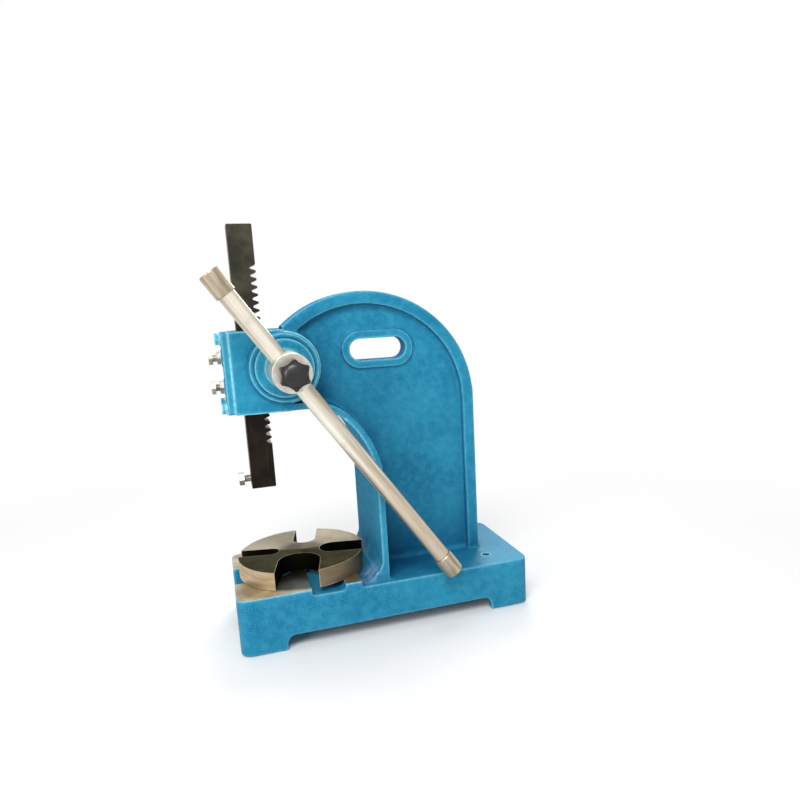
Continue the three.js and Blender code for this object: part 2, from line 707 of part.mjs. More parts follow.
function pinionShaft() {
  const gearHalf = gearFaceWidth / 2;
  const bushEnd = bossRingReach + seatGap + bushFlangeThickness;
  const nearEnd = turnedAboutY([
    [0, -shaftHubReach], [shaftRadius - shaftBevel, -shaftHubReach], [shaftRadius, -shaftHubReach + shaftBevel],
    [shaftRadius, -gearHalf], [0, -gearHalf]], pinionX, pinionHeight, fineSides);
  const middle = turnedAboutY(
    rodProfile(gearRootRadius - gearPocketGap, -gearHalf - cutOverrun, gearHalf), pinionX, pinionHeight);
  const farEnd = turnedAboutY([
    [0, gearHalf - cutOverrun], [farJournalRadius, gearHalf - cutOverrun], [farJournalRadius, bushEnd - shaftBevel],
    [farJournalRadius - shaftBevel, bushEnd], [centreDrillRadius, bushEnd], [0, bushEnd - centreDrillRadius]],
  pinionX, pinionHeight);
  const teeth = alongY(polygon(pinionOutline()), -gearHalf, gearHalf);
  const leverHole = leverRod(leverRadius + leverHoleGap, -2 * shaftRadius, 2 * shaftRadius);
  const studHole = turnedAboutY(
    rodProfile(studRadius + seatGap, -shaftHubReach - cutOverrun, -leverReach), pinionX, pinionHeight, smallSides);
  return cut(join(nearEnd, middle, farEnd, teeth), leverHole, studHole);
}

// Solids along the lever's axis: places are measured from the shaft's axis down the bar
function alongLever(profile, sides) {
  const geometry = turned(profile, sides);
  geometry.rotateZ(-Math.PI / 2).rotateY(leverAngle);
  return solidOf(geometry.translate(pinionX, -leverReach, pinionHeight));
}

function leverRod(radius, from, to, bevel = 0) {
  return alongLever(rodProfile(radius, from, to, bevel), roundSides);
}

function leverBar() {
  const inset = capFloor + seatGap;
  return leverRod(leverRadius, -leverUpperLength + inset, leverLowerLength - inset, capBevel);
}

// A steel cap pushed over one end of the bar: end is where it closes, mouth where it opens
function leverCap(end, direction) {
  const mouth = end - direction * capLength;
  const floor = end - direction * capFloor;
  const bore = leverRadius + seatGap;
  const profile = [
    [0, end], [capRadius - capBevel, end], [capRadius, end - direction * capBevel],
    [capRadius, mouth + direction * capBevel / 2], [capRadius - capBevel / 2, mouth], [bore, mouth], [bore, floor], [0, floor]];
  return alongLever(profile, roundSides);
}

const knobBackY = -shaftHubReach - studShow;

function clampStud() {
  const tip = -leverReach - leverRadius - seatGap;
  const inKnob = knobBackY - knobNeckLength;
  return turnedAboutY(rodProfile(studRadius, inKnob, tip), pinionX, pinionHeight, smallSides);
}

// The star knob: rounded lobes on a short neck, with a shallow round crown in front
function clampKnob() {
  const waist = (knobLobeRadius + knobWaistRadius) / 2;
  const swing = (knobLobeRadius - knobWaistRadius) / 2;
  const star = polygon(Array.from({ length: fineSides }, (_, i) => {
    const turn = i * 2 * Math.PI / fineSides;
    const r = waist - swing * Math.cos(knobLobes * turn);
    return [pinionX + r * Math.cos(turn), pinionHeight + r * Math.sin(turn)];
  }));
  const bodyBack = knobBackY - knobNeckLength;
  const bodyFront = bodyBack - knobBodyThickness;
  const rounded = new THREE.ExtrudeGeometry(star, {
    depth: knobBodyThickness - 2 * knobEdgeBevel, bevelThickness: knobEdgeBevel, bevelSize: knobEdgeBevel,
    bevelOffset: -knobEdgeBevel, bevelSegments: 2 });
  const body = solidOf(rounded.rotateX(Math.PI / 2).translate(0, bodyBack - knobEdgeBevel, 0));
  const neck = turnedAboutY(rodProfile(knobNeckRadius, bodyBack - embed, knobBackY), pinionX, pinionHeight, smallSides);
  const crownSteps = 4;
  const dome = Array.from({ length: crownSteps + 1 }, (_, i) => {
    const turn = i / crownSteps * Math.PI / 2;
    return [knobCrownRadius * Math.sin(turn), bodyFront - knobCrownHeight * Math.cos(turn)];
  });
  const crown = turnedAboutY([...dome, [knobCrownRadius, bodyFront + embed], [0, bodyFront + embed]], pinionX, pinionHeight);
  const studHole = turnedAboutY(
    rodProfile(studRadius + seatGap, knobBackY - knobNeckLength - seatGap, knobBackY + cutOverrun),
    pinionX, pinionHeight, smallSides);
  return cut(join(body, neck, crown), studHole);
}

// The flanged bush that closes the far end of the pinion's bore
function pinionBush() {
  const inner = farJournalRadius + shaftRunningGap;
  const outer = gearPocketRadius - seatGap;
  const from = gearFaceWidth / 2 + seatGap;
  const flangeFrom = bossRingReach + seatGap;
  const flangeTo = flangeFrom + bushFlangeThickness;
  const body = turnedAboutY([
    [inner, from], [outer, from], [outer, flangeFrom], [bossRingRadius, flangeFrom],
    [bossRingRadius, flangeTo - bossBevel], [bossRingRadius - bossBevel, flangeTo], [inner, flangeTo], [inner, from]],
  pinionX, pinionHeight);
  const holes = bushScrewTurns().map((turn) => turnedAboutY(
    rodProfile(bushScrewRadius + seatGap, flangeFrom - cutOverrun, flangeTo + cutOverrun),
    pinionX + bushScrewCircle * Math.cos(turn), pinionHeight + bushScrewCircle * Math.sin(turn), smallSides));
  return cut(body, ...holes);
}

function bushScrew(turn) {
  const headBack = bossRingReach + 2 * seatGap + bushFlangeThickness;
  const headFront = headBack + bushScrewHeadHeight;
  const x = pinionX + bushScrewCircle * Math.cos(turn);
  const z = pinionHeight + bushScrewCircle * Math.sin(turn);
  return turnedAboutY([
    [0, bossRingReach - bushScrewLength + seatGap], [bushScrewRadius, bossRingReach - bushScrewLength + seatGap],
    [bushScrewRadius, headBack], [bushScrewHeadRadius, headBack], [bushScrewHeadRadius, headFront - bossBevel],
    [bushScrewHeadRadius - bossBevel, headFront], [0, headFront]], x, z, smallSides);
}

// The scene graph
const press = new THREE.Group();
press.name = 'arbor_press';

function place(name, solid, material) {
  const mesh = new THREE.Mesh(geometryOf(solid), material);
  mesh.name = name;
  press.add(mesh);
}

place('frame_casting', frameCasting(), bluePaint());
place('plate_pivot_pin', pivotPin(), satinSteel());
place('arbor_plate', arborPlate(), machinedIron());
place('rack_ram', ram(), blackOxide());
place('tool_clamp_screw', toolScrew(), zincSteel());
place('cover_plate', coverPlate(), bluePaint());
place('ram_gib', gib(), machinedIron());
coverBoltHeights.forEach((z, row) => [-1, 1].forEach((side, column) => {
  const number = 2 * row + column + 1;
  const y = side * coverBoltSpacingY / 2;
  place(`cover_bolt_${number}`, coverBolt(y, z), bluePaint());
  place(`cover_washer_${number}`, coverWasher(y, z), bluePaint());
}));
adjusterHeights.forEach((z, i) => {
  place(`adjusting_screw_${i + 1}`, adjustingScrew(z), zincSteel());
  place(`jam_nut_${i + 1}`, jamNut(z), zincSteel());
});
place('pinion_shaft', pinionShaft(), satinSteel());
place('pinion_bush', pinionBush(), machinedIron());
bushScrewTurns().forEach((turn, i) => place(`bush_screw_${i + 1}`, bushScrew(turn), zincSteel()));
place('lever_bar', leverBar(), satinSteel());
place('lever_cap_upper', leverCap(-leverUpperLength, -1), satinSteel());
place('lever_cap_lower', leverCap(leverLowerLength, 1), satinSteel());
place('clamp_stud', clampStud(), zincSteel());
place('clamp_knob', clampKnob(), blackPlastic());

export default press;
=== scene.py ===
import math

import bpy
from mathutils import Matrix, Vector


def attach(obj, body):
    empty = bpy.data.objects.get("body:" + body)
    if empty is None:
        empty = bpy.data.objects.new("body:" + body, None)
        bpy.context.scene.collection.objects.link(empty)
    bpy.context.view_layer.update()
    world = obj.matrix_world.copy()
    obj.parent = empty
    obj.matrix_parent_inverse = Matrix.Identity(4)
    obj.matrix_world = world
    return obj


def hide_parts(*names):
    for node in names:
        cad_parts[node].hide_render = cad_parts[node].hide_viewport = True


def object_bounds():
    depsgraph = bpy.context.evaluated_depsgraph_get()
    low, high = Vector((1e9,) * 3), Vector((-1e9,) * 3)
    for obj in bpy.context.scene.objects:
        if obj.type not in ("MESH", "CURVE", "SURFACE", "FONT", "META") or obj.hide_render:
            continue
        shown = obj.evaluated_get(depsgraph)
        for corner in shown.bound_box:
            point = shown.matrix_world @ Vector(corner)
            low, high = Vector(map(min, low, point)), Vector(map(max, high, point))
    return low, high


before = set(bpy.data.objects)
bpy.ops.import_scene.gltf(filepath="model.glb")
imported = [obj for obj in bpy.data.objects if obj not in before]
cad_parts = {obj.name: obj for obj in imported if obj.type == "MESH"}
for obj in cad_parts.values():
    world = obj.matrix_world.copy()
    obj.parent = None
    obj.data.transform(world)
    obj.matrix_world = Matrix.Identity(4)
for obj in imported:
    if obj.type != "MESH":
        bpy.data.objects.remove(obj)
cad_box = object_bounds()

# The photograph's view: the camera stands in front of the press and a little to its left,
# looks slightly down, and is turned a few degrees about its own line of sight.
camera_place = Vector((-0.0908, -0.9260, 0.3375))
camera_right = Vector((0.9469, -0.3182, -0.0467)).normalized()
camera_forward = Vector((0.3042, 0.9333, -0.1910)).normalized()
camera_lens = 29.80
camera_shift = (-0.0441, 0.0416)

camera_up = camera_right.cross(camera_forward)
camera_data = bpy.data.cameras.new("view")
camera_data.lens = camera_lens
camera_data.shift_x, camera_data.shift_y = camera_shift
camera = bpy.data.objects.new("view", camera_data)
axes = Matrix((camera_right, camera_up, -camera_forward)).transposed()
camera.matrix_world = Matrix.Translation(camera_place) @ axes.to_4x4()
bpy.context.scene.collection.objects.link(camera)
bpy.context.scene.camera = camera


# The frame is one iron casting: base, column, web, head and bosses. It comes soft-edged out of
# the sand, is milled on its pads and head and bored for the shaft, then sprayed metallic blue
# everywhere but on the pads.
weld_gap = 1e-6
casting_voxel = 0.0019
casting_smoothing = 5
casting_face_target = 150000
sand_scale = 0.011
sand_depth = 0.00035
machining_stock = 0.003
dust_centre, dust_reach = Vector((0.078, -0.062, -0.028)), 0.034
cut_room = 0.004
pad_top, cast_top = -0.0253, -0.0338
pad_rear = 0.068
pad_side, pad_front = 0.0958, 0.1010
shade_and_oil_reach = (0.080, 0.092)
paint_line, paint_raggedness = 0.0003, 0.01
mill_path_centre = (0.16, 0.05, 0)
head_bottom, head_top = 0.208, 0.315
head_bottom_rear = 0.02
head_front, head_rear = -0.072, -0.0018
head_half = 0.045
bore_axis = Vector((-0.005775, 0, 0.2657))
near_bore_radius, far_bore_radius = 0.0243, 0.029175
far_bore_start = -0.0171
boss_radius, boss_reach = 0.0447, 0.052
ring_radius, ring_reach = 0.038, 0.057
boss_cove = 0.003
boss_space_front, boss_space_rear = -0.1, 0.1
boss_space_low, boss_space_high = 0.19, 0.34
turned_edge = 0.0006
channel_half, channel_back = 0.0163, -0.0277
holding_hole_radius = 0.006
holding_hole_x, holding_hole_y = 0.265, 0.052
oil_hole_radius, oil_hole_y = 0.0025, -0.040
grip_centre, grip_half_depth = Vector((0.128, 0, 0.2805)), 0.014
grip_radius, grip_length, grip_ring, grip_edge = 0.015, 0.080, 0.011, 0.0013
cover_bolt_y, cover_bolt_heights = 0.033, (0.217, 0.306)
cover_hole_radius, cover_hole_depth = 0.0043, 0.025
bush_screw_circle, bush_hole_radius, bush_hole_depth = 0.0333, 0.0028, 0.014
bush_screw_turns = [math.radians(90 + 120 * i) for i in range(3)]


def choose(*pieces):
    bpy.ops.object.select_all(action="DESELECT")
    for piece in pieces:
        piece.select_set(True)
    bpy.context.view_layer.objects.active = pieces[0]


def settle(piece):
    # The piece goes back to the origin, and its place into its mesh
    choose(piece)
    bpy.ops.object.transform_apply(location=True, rotation=True, scale=True)


def weld(piece, gap):
    choose(piece)
    bpy.ops.object.mode_set(mode="EDIT")
    bpy.ops.mesh.select_all(action="SELECT")
    bpy.ops.mesh.remove_doubles(threshold=gap)
    bpy.ops.object.mode_set(mode="OBJECT")


def copy_of_node(node, name):
    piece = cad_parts[node].copy()
    piece.data = piece.data.copy()
    piece.name = piece.data.name = name
    piece.parent = None
    for key in list(piece.keys()):
        del piece[key]
    bpy.context.scene.collection.objects.link(piece)
    weld(piece, weld_gap)
    return piece


def work_on(piece, kind, **settings):
    step = piece.modifiers.new(kind.lower(), kind)
    for key, value in settings.items():
        setattr(step, key, value)
    choose(piece)
    bpy.ops.object.modifier_apply(modifier=step.name)


def combine(piece, tool, operation="DIFFERENCE", solver="EXACT"):
    work_on(piece, "BOOLEAN", object=tool, operation=operation, solver=solver)
    bpy.data.objects.remove(tool)


def block(low, high):
    low, high = Vector(low), Vector(high)
    bpy.ops.object.select_all(action="DESELECT")
    bpy.ops.mesh.primitive_cube_add(size=1, location=(low + high) / 2, scale=high - low)
    made = bpy.context.object
    settle(made)
    return made


def turned(name, profile, sides=96):
    # The profile lists the place along the axis and the radius, from one end to the other
    place, radius = profile[0]
    bpy.ops.object.select_all(action="DESELECT")
    bpy.ops.mesh.primitive_circle_add(
        vertices=sides, radius=radius, fill_type="NGON", location=(0, 0, place))
    piece = bpy.context.object
    piece.name = piece.data.name = name
    bpy.ops.object.mode_set(mode="EDIT")
    bpy.ops.mesh.select_all(action="SELECT")
    for next_place, next_radius in profile[1:]:
        bpy.ops.mesh.extrude_region_move(
            TRANSFORM_OT_translate={"value": (0, 0, next_place - place)})
        grow = next_radius / radius
        bpy.ops.transform.resize(value=(grow, grow, 1), center_override=(0, 0, next_place))
        place, radius = next_place, next_radius
    bpy.ops.mesh.select_all(action="SELECT")
    bpy.ops.mesh.normals_make_consistent(inside=False)
    bpy.ops.object.mode_set(mode="OBJECT")
    settle(piece)
    return piece


def lay_along(piece, foot, direction):
    turn = Vector((0, 0, 1)).rotation_difference(Vector(direction))
    piece.matrix_world = Matrix.Translation(foot) @ turn.to_matrix().to_4x4()
    settle(piece)
    return piece


def drill(piece, foot, direction, length, radius, sides=48, solver="EXACT"):
    tool = turned("drill", [(0, radius), (length, radius)], sides)
    combine(piece, lay_along(tool, foot, direction), solver=solver)


def round_edges(piece, width, segments=2, angle=40):
    work_on(piece, "BEVEL", width=width, segments=segments, limit_method="ANGLE",
            angle_limit=math.radians(angle))


def smooth_round(piece, angle=32):
    choose(piece)
    bpy.ops.object.shade_smooth_by_angle(angle=math.radians(angle))
    work_on(piece, "WEIGHTED_NORMAL", keep_sharp=True)


def join_on(piece, body, slot, *nodes):
    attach(piece, body)
    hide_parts(*nodes)


def select_edges(piece, is_there):
    choose(piece)
    bpy.ops.object.mode_set(mode="EDIT")
    bpy.ops.mesh.select_mode(type="EDGE")
    bpy.ops.mesh.select_all(action="DESELECT")
    bpy.ops.object.mode_set(mode="OBJECT")
    for edge in piece.data.edges:
        edge.select = is_there(*(piece.data.vertices[i].co for i in edge.vertices))
    bpy.ops.object.mode_set(mode="EDIT")


casting = copy_of_node("frame_casting", "press_frame")
select_edges(casting, lambda start, end: max(abs(start.z - pad_top), abs(end.z - pad_top)) < turned_edge)
bpy.ops.transform.translate(value=(0, 0, machining_stock))
bpy.ops.object.mode_set(mode="OBJECT")
head_stock = block(
    (head_front - machining_stock, -head_half, head_bottom - machining_stock),
    (head_rear, head_half, head_top + machining_stock))
bore_plug = lay_along(
    turned("bore_plug", [(0, boss_radius - boss_cove), (2 * head_half, boss_radius - boss_cove)]),
    bore_axis - Vector((0, head_half, 0)), (0, 1, 0))
hole_plugs = [
    lay_along(
        turned("hole_plug", [(0, 2 * holding_hole_radius), (-cast_top / 3, 2 * holding_hole_radius)]),
        (holding_hole_x, side * holding_hole_y, cast_top), (0, 0, -1))
    for side in (-1, 1)]
for side in (-1, 1):
    low, high = sorted((side * head_half, side * (ring_reach + cut_room)))
    combine(casting, block((boss_space_front, low, boss_space_low),
                           (boss_space_rear, high, boss_space_high)))
choose(casting, head_stock, bore_plug, *hole_plugs)
bpy.ops.object.join()
work_on(casting, "REMESH", mode="VOXEL", voxel_size=casting_voxel)
work_on(casting, "SMOOTH", factor=0.5, iterations=casting_smoothing)
sand = bpy.data.textures.new("sand", "CLOUDS")
sand.noise_scale = sand_scale
work_on(casting, "DISPLACE", texture=sand, strength=sand_depth, mid_level=1.0, texture_coords="LOCAL")
work_on(casting, "DECIMATE", ratio=casting_face_target / len(casting.data.polygons) / 2)

# The milled faces: the pads, and the head's top, bottom and front
far = 0.4
milling = [
    block((-far, -far, pad_top), (pad_rear + cut_room, far, pad_top + 2 * cut_room)),
    block((-far, -far, head_top), (head_rear, far, head_top + 2 * cut_room)),
    block((-far, -far, head_bottom - 2 * cut_room), (head_bottom_rear, far, head_bottom)),
    block((-far, -far, head_bottom - cut_room), (head_front, far, head_top + 2 * cut_room)),
    block(
        (head_front - cut_room, -channel_half, head_bottom - cut_room),
        (channel_back, channel_half, head_top + cut_room))]
for tool in milling:
    combine(casting, tool, solver="MANIFOLD")
for side in (-1, 1):
    boss = turned("boss", [
        (0, boss_radius - boss_cove), (head_half - boss_cove, boss_radius - boss_cove),
        (head_half - boss_cove / 3, boss_radius + boss_cove),
        (head_half + boss_cove / 3, boss_radius + boss_cove / 3),
        (head_half + boss_cove, boss_radius), (boss_reach - turned_edge, boss_radius),
        (boss_reach, boss_radius - turned_edge), (boss_reach, ring_radius + turned_edge),
        (boss_reach + turned_edge, ring_radius), (ring_reach - turned_edge, ring_radius),
        (ring_reach, ring_radius - turned_edge)])
    combine(casting, lay_along(boss, bore_axis, (0, side, 0)), "UNION", "MANIFOLD")


def obround(name, radius, length, half_depth):
    # A disc whose two halves are drawn apart
    disc = turned(name, [(-half_depth, radius), (half_depth, radius)], 64)
    disc.matrix_world = Matrix.Rotation(math.pi / 64, 4, "Z")
    settle(disc)
    for side in (-1, 1):
        select_edges(disc, lambda start, end: min(side * start.x, side * end.x) > 0)
        bpy.ops.transform.translate(value=(side * (length / 2 - radius), 0, 0))
        bpy.ops.object.mode_set(mode="OBJECT")
    return disc


grip = obround("grip_ring", grip_radius + grip_ring, grip_length + 2 * grip_ring, grip_half_depth)
combine(grip, obround("grip_slot", grip_radius, grip_length, 2 * grip_half_depth))
round_edges(grip, grip_edge, segments=3)
combine(casting, lay_along(grip, grip_centre, (0, 1, 0)), "UNION", "MANIFOLD")
near_end = bore_axis - Vector((0, ring_reach + cut_room, 0))
drill(casting, near_end, (0, 1, 0), ring_reach, near_bore_radius, 96, "MANIFOLD")
drill(casting, bore_axis + Vector((0, far_bore_start, 0)), (0, 1, 0),
      ring_reach - far_bore_start + cut_room, far_bore_radius, 96, "MANIFOLD")
for side in (-1, 1):
    drill(casting, (holding_hole_x, side * holding_hole_y, cast_top + cut_room), (0, 0, -1),
          -cast_top, holding_hole_radius, 48, "MANIFOLD")
    for height in cover_bolt_heights:
        drill(casting, (head_front - cut_room, side * cover_bolt_y, height), (1, 0, 0),
              cover_hole_depth + cut_room, cover_hole_radius, 32, "MANIFOLD")
for turn in bush_screw_turns:
    spot = bore_axis + Vector((bush_screw_circle * math.cos(turn), ring_reach + cut_room,
                               bush_screw_circle * math.sin(turn)))
    drill(casting, spot, (0, -1, 0), bush_hole_depth + cut_room, bush_hole_radius, 24, "MANIFOLD")
drill(casting, (bore_axis.x, oil_hole_y, head_top + cut_room), (0, 0, -1),
      head_top - bore_axis.z, oil_hole_radius, 32, "MANIFOLD")
smooth_round(casting)


def start_finish(name):
    material = bpy.data.materials.new(name)
    material.use_nodes = True
    return material, material.node_tree.nodes["Principled BSDF"]


def add_node(material, kind, inputs=None, **settings):
    made = material.node_tree.nodes.new(kind)
    for key, value in settings.items():
        setattr(made, key, value)
    for key, value in (inputs or {}).items():
        give(material, made.inputs[key], value)
    return made


def give(material, socket, value):
    if isinstance(value, bpy.types.NodeSocket):
        material.node_tree.links.new(value, socket)
    else:
        socket.default_value = value


def places(material, scale=(1, 1, 1), turn=(0, 0, 0), shift=(0, 0, 0)):
    here = add_node(material, "ShaderNodeTexCoord").outputs["Object"]
    return add_node(material, "ShaderNodeMapping", {
        "Vector": here, "Scale": scale, "Rotation": turn, "Location": shift}).outputs["Vector"]


def parts_of(material, vector):
    return add_node(material, "ShaderNodeSeparateXYZ", {"Vector": vector}).outputs


def facing_of(material, kind="Normal"):
    return parts_of(material, add_node(material, "ShaderNodeNewGeometry").outputs[kind])


def off_plate_axis(material):
    # How far a point is from the turning plate's axis, which is Z
    return add_node(material, "ShaderNodeVectorMath", {
        0: places(material, scale=(1, 1, 0))}, operation="LENGTH").outputs["Value"]


def noise(material, where, scale, detail=3.0, roughness=0.55):
    return add_node(material, "ShaderNodeTexNoise", {
        "Vector": where, "Scale": scale, "Detail": detail, "Roughness": roughness}).outputs["Fac"]


def spread(material, value, low, high, to_low=0.0, to_high=1.0):
    return add_node(material, "ShaderNodeMapRange", {
        "Value": value, "From Min": low, "From Max": high, "To Min": to_low, "To Max": to_high,
    }, interpolation_type="SMOOTHSTEP").outputs["Result"]


def mixed(material, share, first, second, kind="RGBA"):
    first_socket, second_socket, result = {"RGBA": (6, 7, 2), "FLOAT": (2, 3, 0)}[kind]
    mix = add_node(material, "ShaderNodeMix", {
        0: share, first_socket: first, second_socket: second}, data_type=kind)
    return mix.outputs[result]


def counted(material, operation, first, second=0.0):
    return add_node(material, "ShaderNodeMath", {0: first, 1: second}, operation=operation).outputs[0]


def colour(red, green, blue):
    def linear(share):
        return share / 12.92 if share <= 0.04045 else ((share + 0.055) / 1.055) ** 2.4
    return tuple(linear(value / 255) for value in (red, green, blue)) + (1.0,)


def bumped(material, height, distance, strength=1.0, under=None):
    inputs = {"Height": height, "Distance": distance, "Strength": strength}
    if under is not None:
        inputs["Normal"] = under
    return add_node(material, "ShaderNodeBump", inputs).outputs["Normal"]


def edges_within(material, reach, inside=True):
    # 0 on open faces, and up to 1 where an outer edge is nearer than the reach
    covered = add_node(material, "ShaderNodeAmbientOcclusion", {"Distance": reach},
                       inside=inside, only_local=True, samples=6).outputs["AO"]
    return counted(material, "SUBTRACT", 1.0, covered)


def corners_within(material, reach):
    # The same for the hollows and inner corners
    return edges_within(material, reach, inside=False)


def blue_enamel(name, grain=1.0):
    material, shader = start_finish(name)
    here = places(material)
    cloud = noise(material, here, 14, 2)
    mottle = noise(material, here, 90, 4)
    flake = noise(material, here, 800, 2)
    dimple = noise(material, here, 260, 3)
    body = mixed(material, spread(material, cloud, 0.3, 0.7), colour(20, 112, 149), colour(34, 129, 163))
    body = mixed(material, spread(material, mottle, 0.35, 0.75, 0, 0.4), body, colour(64, 156, 184))
    body = mixed(material, spread(material, flake, 0.5, 0.75, 0, 0.35), body, colour(96, 176, 202))
    # Painted shade: broad recesses, such as the web low between rim and base, are painted darker blue
    hollow = spread(material, corners_within(material, 0.14), 0.1, 0.6, 0, 0.75)
    body = mixed(material, hollow, body, colour(2, 72, 118))
    # Painted highlight: a soft paler band along the rounded cast edges
    body = mixed(material, spread(material, edges_within(material, 0.006), 0.12, 0.4, 0, 0.4), body,
                 colour(96, 184, 210))
    # Sharp edges get a thin pale line, partly worn paint and partly a painted highlight
    worn_and_highlit_edges = counted(material, "MULTIPLY", spread(material, edges_within(material, 0.0026), 0.1, 0.4),
                   spread(material, dimple, 0.3, 0.6, 0.4, 0.95))
    body = mixed(material, worn_and_highlit_edges, body, colour(150, 216, 230))
    # Painted shade: inner corners, such as under the rim's step, are painted a dark line
    body = mixed(material, spread(material, corners_within(material, 0.007), 0.15, 0.55, 0, 0.8), body,
                 colour(0, 44, 82))
    skin = counted(material, "ADD", dimple, counted(material, "MULTIPLY", cloud, 0.5))
    skin = counted(material, "ADD", skin, counted(material, "MULTIPLY", mottle, 1.4))
    give(material, shader.inputs["Base Color"], body)
    give(material, shader.inputs["Metallic"], 0.05)
    give(material, shader.inputs["Specular IOR Level"], 0.2)
    give(material, shader.inputs["Specular Tint"], (0.45, 0.78, 0.95, 1.0))
    # Sprayed enamel is glossy when faced and turns dull at a low angle
    aside = add_node(material, "ShaderNodeLayerWeight", {"Blend": 0.5}).outputs["Facing"]
    gloss = spread(material, mottle, 0.3, 0.7, 0.42, 0.54)
    give(material, shader.inputs["Roughness"], mixed(
        material, spread(material, aside, 0.6, 0.9), gloss, 0.9, "FLOAT"))
    give(material, shader.inputs["Normal"], bumped(material, skin, 0.0005 * grain, 0.8))
    return material, shader


def show_bare_iron(material, shader, mask, iron, roughness, height):
    # Where the mask is 1 the paint gives way to bare machined iron
    inputs = shader.inputs
    painted = {key: inputs[key].links[0].from_socket for key in ("Base Color", "Roughness", "Normal")}
    cut = bumped(material, height, 0.00006, 0.7)
    give(material, inputs["Base Color"], mixed(material, mask, painted["Base Color"], iron))
    give(material, inputs["Roughness"], mixed(material, mask, painted["Roughness"], roughness, "FLOAT"))
    give(material, inputs["Metallic"], mixed(
        material, mask, inputs["Metallic"].default_value, 1.0, "FLOAT"))
    blend = add_node(material, "ShaderNodeMix", {
        0: mask, 4: painted["Normal"], 5: cut}, data_type="VECTOR")
    give(material, inputs["Normal"], blend.outputs[1])


def milled_pads(material, shader):
    here = places(material)
    split = parts_of(material, here)
    facing = facing_of(material, "True Normal")["Z"]
    ragged = counted(material, "MULTIPLY", noise(material, here, 190, 4), paint_raggedness)
    side = counted(material, "ADD", counted(material, "ABSOLUTE", split["Y"]), ragged)
    front = counted(material, "ADD", counted(material, "MULTIPLY", split["X"], -1.0), ragged)
    mask = spread(material, facing, 0.9, 0.95)
    for share in (
            spread(material, split["Z"], pad_top - 2 * paint_line, pad_top - paint_line),
            spread(material, split["Z"], pad_top + paint_line, pad_top + 2 * paint_line, 1, 0),
            spread(material, side, pad_side, pad_side + paint_line, 1, 0),
            spread(material, front, pad_front, pad_front + paint_line, 1, 0),
            spread(material, split["X"], pad_rear, pad_rear + paint_line, 1, 0)):
        mask = counted(material, "MULTIPLY", mask, share)
    sweep = add_node(material, "ShaderNodeTexWave", {
        "Vector": places(material, shift=mill_path_centre), "Scale": 190, "Distortion": 0.6,
        "Detail": 2, "Detail Scale": 2}, wave_type="RINGS", rings_direction="Z").outputs["Fac"]
    stain = noise(material, here, 30, 4)
    spots = noise(material, here, 70, 3)
    iron = mixed(material, spread(material, stain, 0.35, 0.65), colour(216, 198, 166),
                 colour(160, 134, 106))
    iron = mixed(material, spread(material, spots, 0.5, 0.7, 0, 0.5), iron, colour(134, 120, 92))
    iron = mixed(material, counted(material, "MULTIPLY", sweep, 0.25), iron, colour(204, 192, 168))
    # The pads are darker where the plate covers them: painted shade under the plate, and oil that stays
    # there
    shade_and_oil_under_plate = spread(material, off_plate_axis(material), *shade_and_oil_reach, 0.9, 0)
    iron = mixed(material, shade_and_oil_under_plate, iron, colour(48, 45, 35))
    show_bare_iron(material, shader, mask, iron, spread(material, stain, 0.3, 0.7, 0.34, 0.5), sweep)


def dusted_fillet(material, shader):
    # Dry overspray lies matt and greyish on the fillet in front of the column
    here = places(material)
    away = add_node(material, "ShaderNodeVectorMath", {
        0: here, 1: dust_centre}, operation="DISTANCE").outputs["Value"]
    patchy = counted(material, "MULTIPLY", spread(material, away, 0.3 * dust_reach, dust_reach, 1, 0),
                     spread(material, noise(material, here, 75, 5), 0.35, 0.65))
    painted = shader.inputs["Base Color"].links[0].from_socket
    give(material, shader.inputs["Base Color"], mixed(
        material, counted(material, "MULTIPLY", patchy, 0.6), painted, colour(140, 156, 190)))


frame_paint, frame_shader = blue_enamel("cast_blue_enamel", 1.5)
dusted_fillet(frame_paint, frame_shader)
milled_pads(frame_paint, frame_shader)
casting.data.materials.clear()
casting.data.materials.append(frame_paint)
join_on(casting, "frame", "frame_paint", "frame_casting")


# The turning plate is a turned iron disc with four open slots of different widths, milled
# square to its faces. It stands on the pads and turns on a ground pin beneath it.
plate_radius, plate_thickness = 0.0885, 0.025
plate_turn = math.radians(-12)
plate_slots = (0.058, 0.038, 0.032, 0.024)
slot_centre = 0.044
plate_edge = 0.0007
pin_radius, pin_bottom, pin_top = 0.006, -0.0468, -0.0113
pin_room = 0.0003
fan_core, fan_start, fan_full = 0.012, 0.020, 0.045

plate = turned("turning_plate", [(-plate_thickness, plate_radius), (0, plate_radius)], 256)
for i, width in enumerate(plate_slots):
    half = width / 2
    turn = Matrix.Rotation(plate_turn + math.radians(90 * i - 90), 4, "Z")
    slot_box = block((slot_centre, -half, -plate_thickness - cut_room),
                     (plate_radius + cut_room, half, cut_room))
    slot_end = turned("slot_end", [(-plate_thickness - cut_room, half), (cut_room, half)], 64)
    slot_end.matrix_world = Matrix.Translation((slot_centre, 0, 0))
    for tool in (slot_box, slot_end):
        tool.matrix_world = turn @ tool.matrix_world
        settle(tool)
        combine(plate, tool)
drill(plate, (0, 0, -plate_thickness - cut_room), (0, 0, 1),
      plate_thickness + cut_room + pin_top + pin_room, pin_radius + pin_room)
round_edges(plate, plate_edge)
smooth_round(plate)

pivot_pin = turned("pivot_pin", [
    (pin_bottom, pin_radius - plate_edge), (pin_bottom + plate_edge, pin_radius),
    (pin_top - plate_edge, pin_radius), (pin_top, pin_radius - plate_edge)], 48)
smooth_round(pivot_pin)


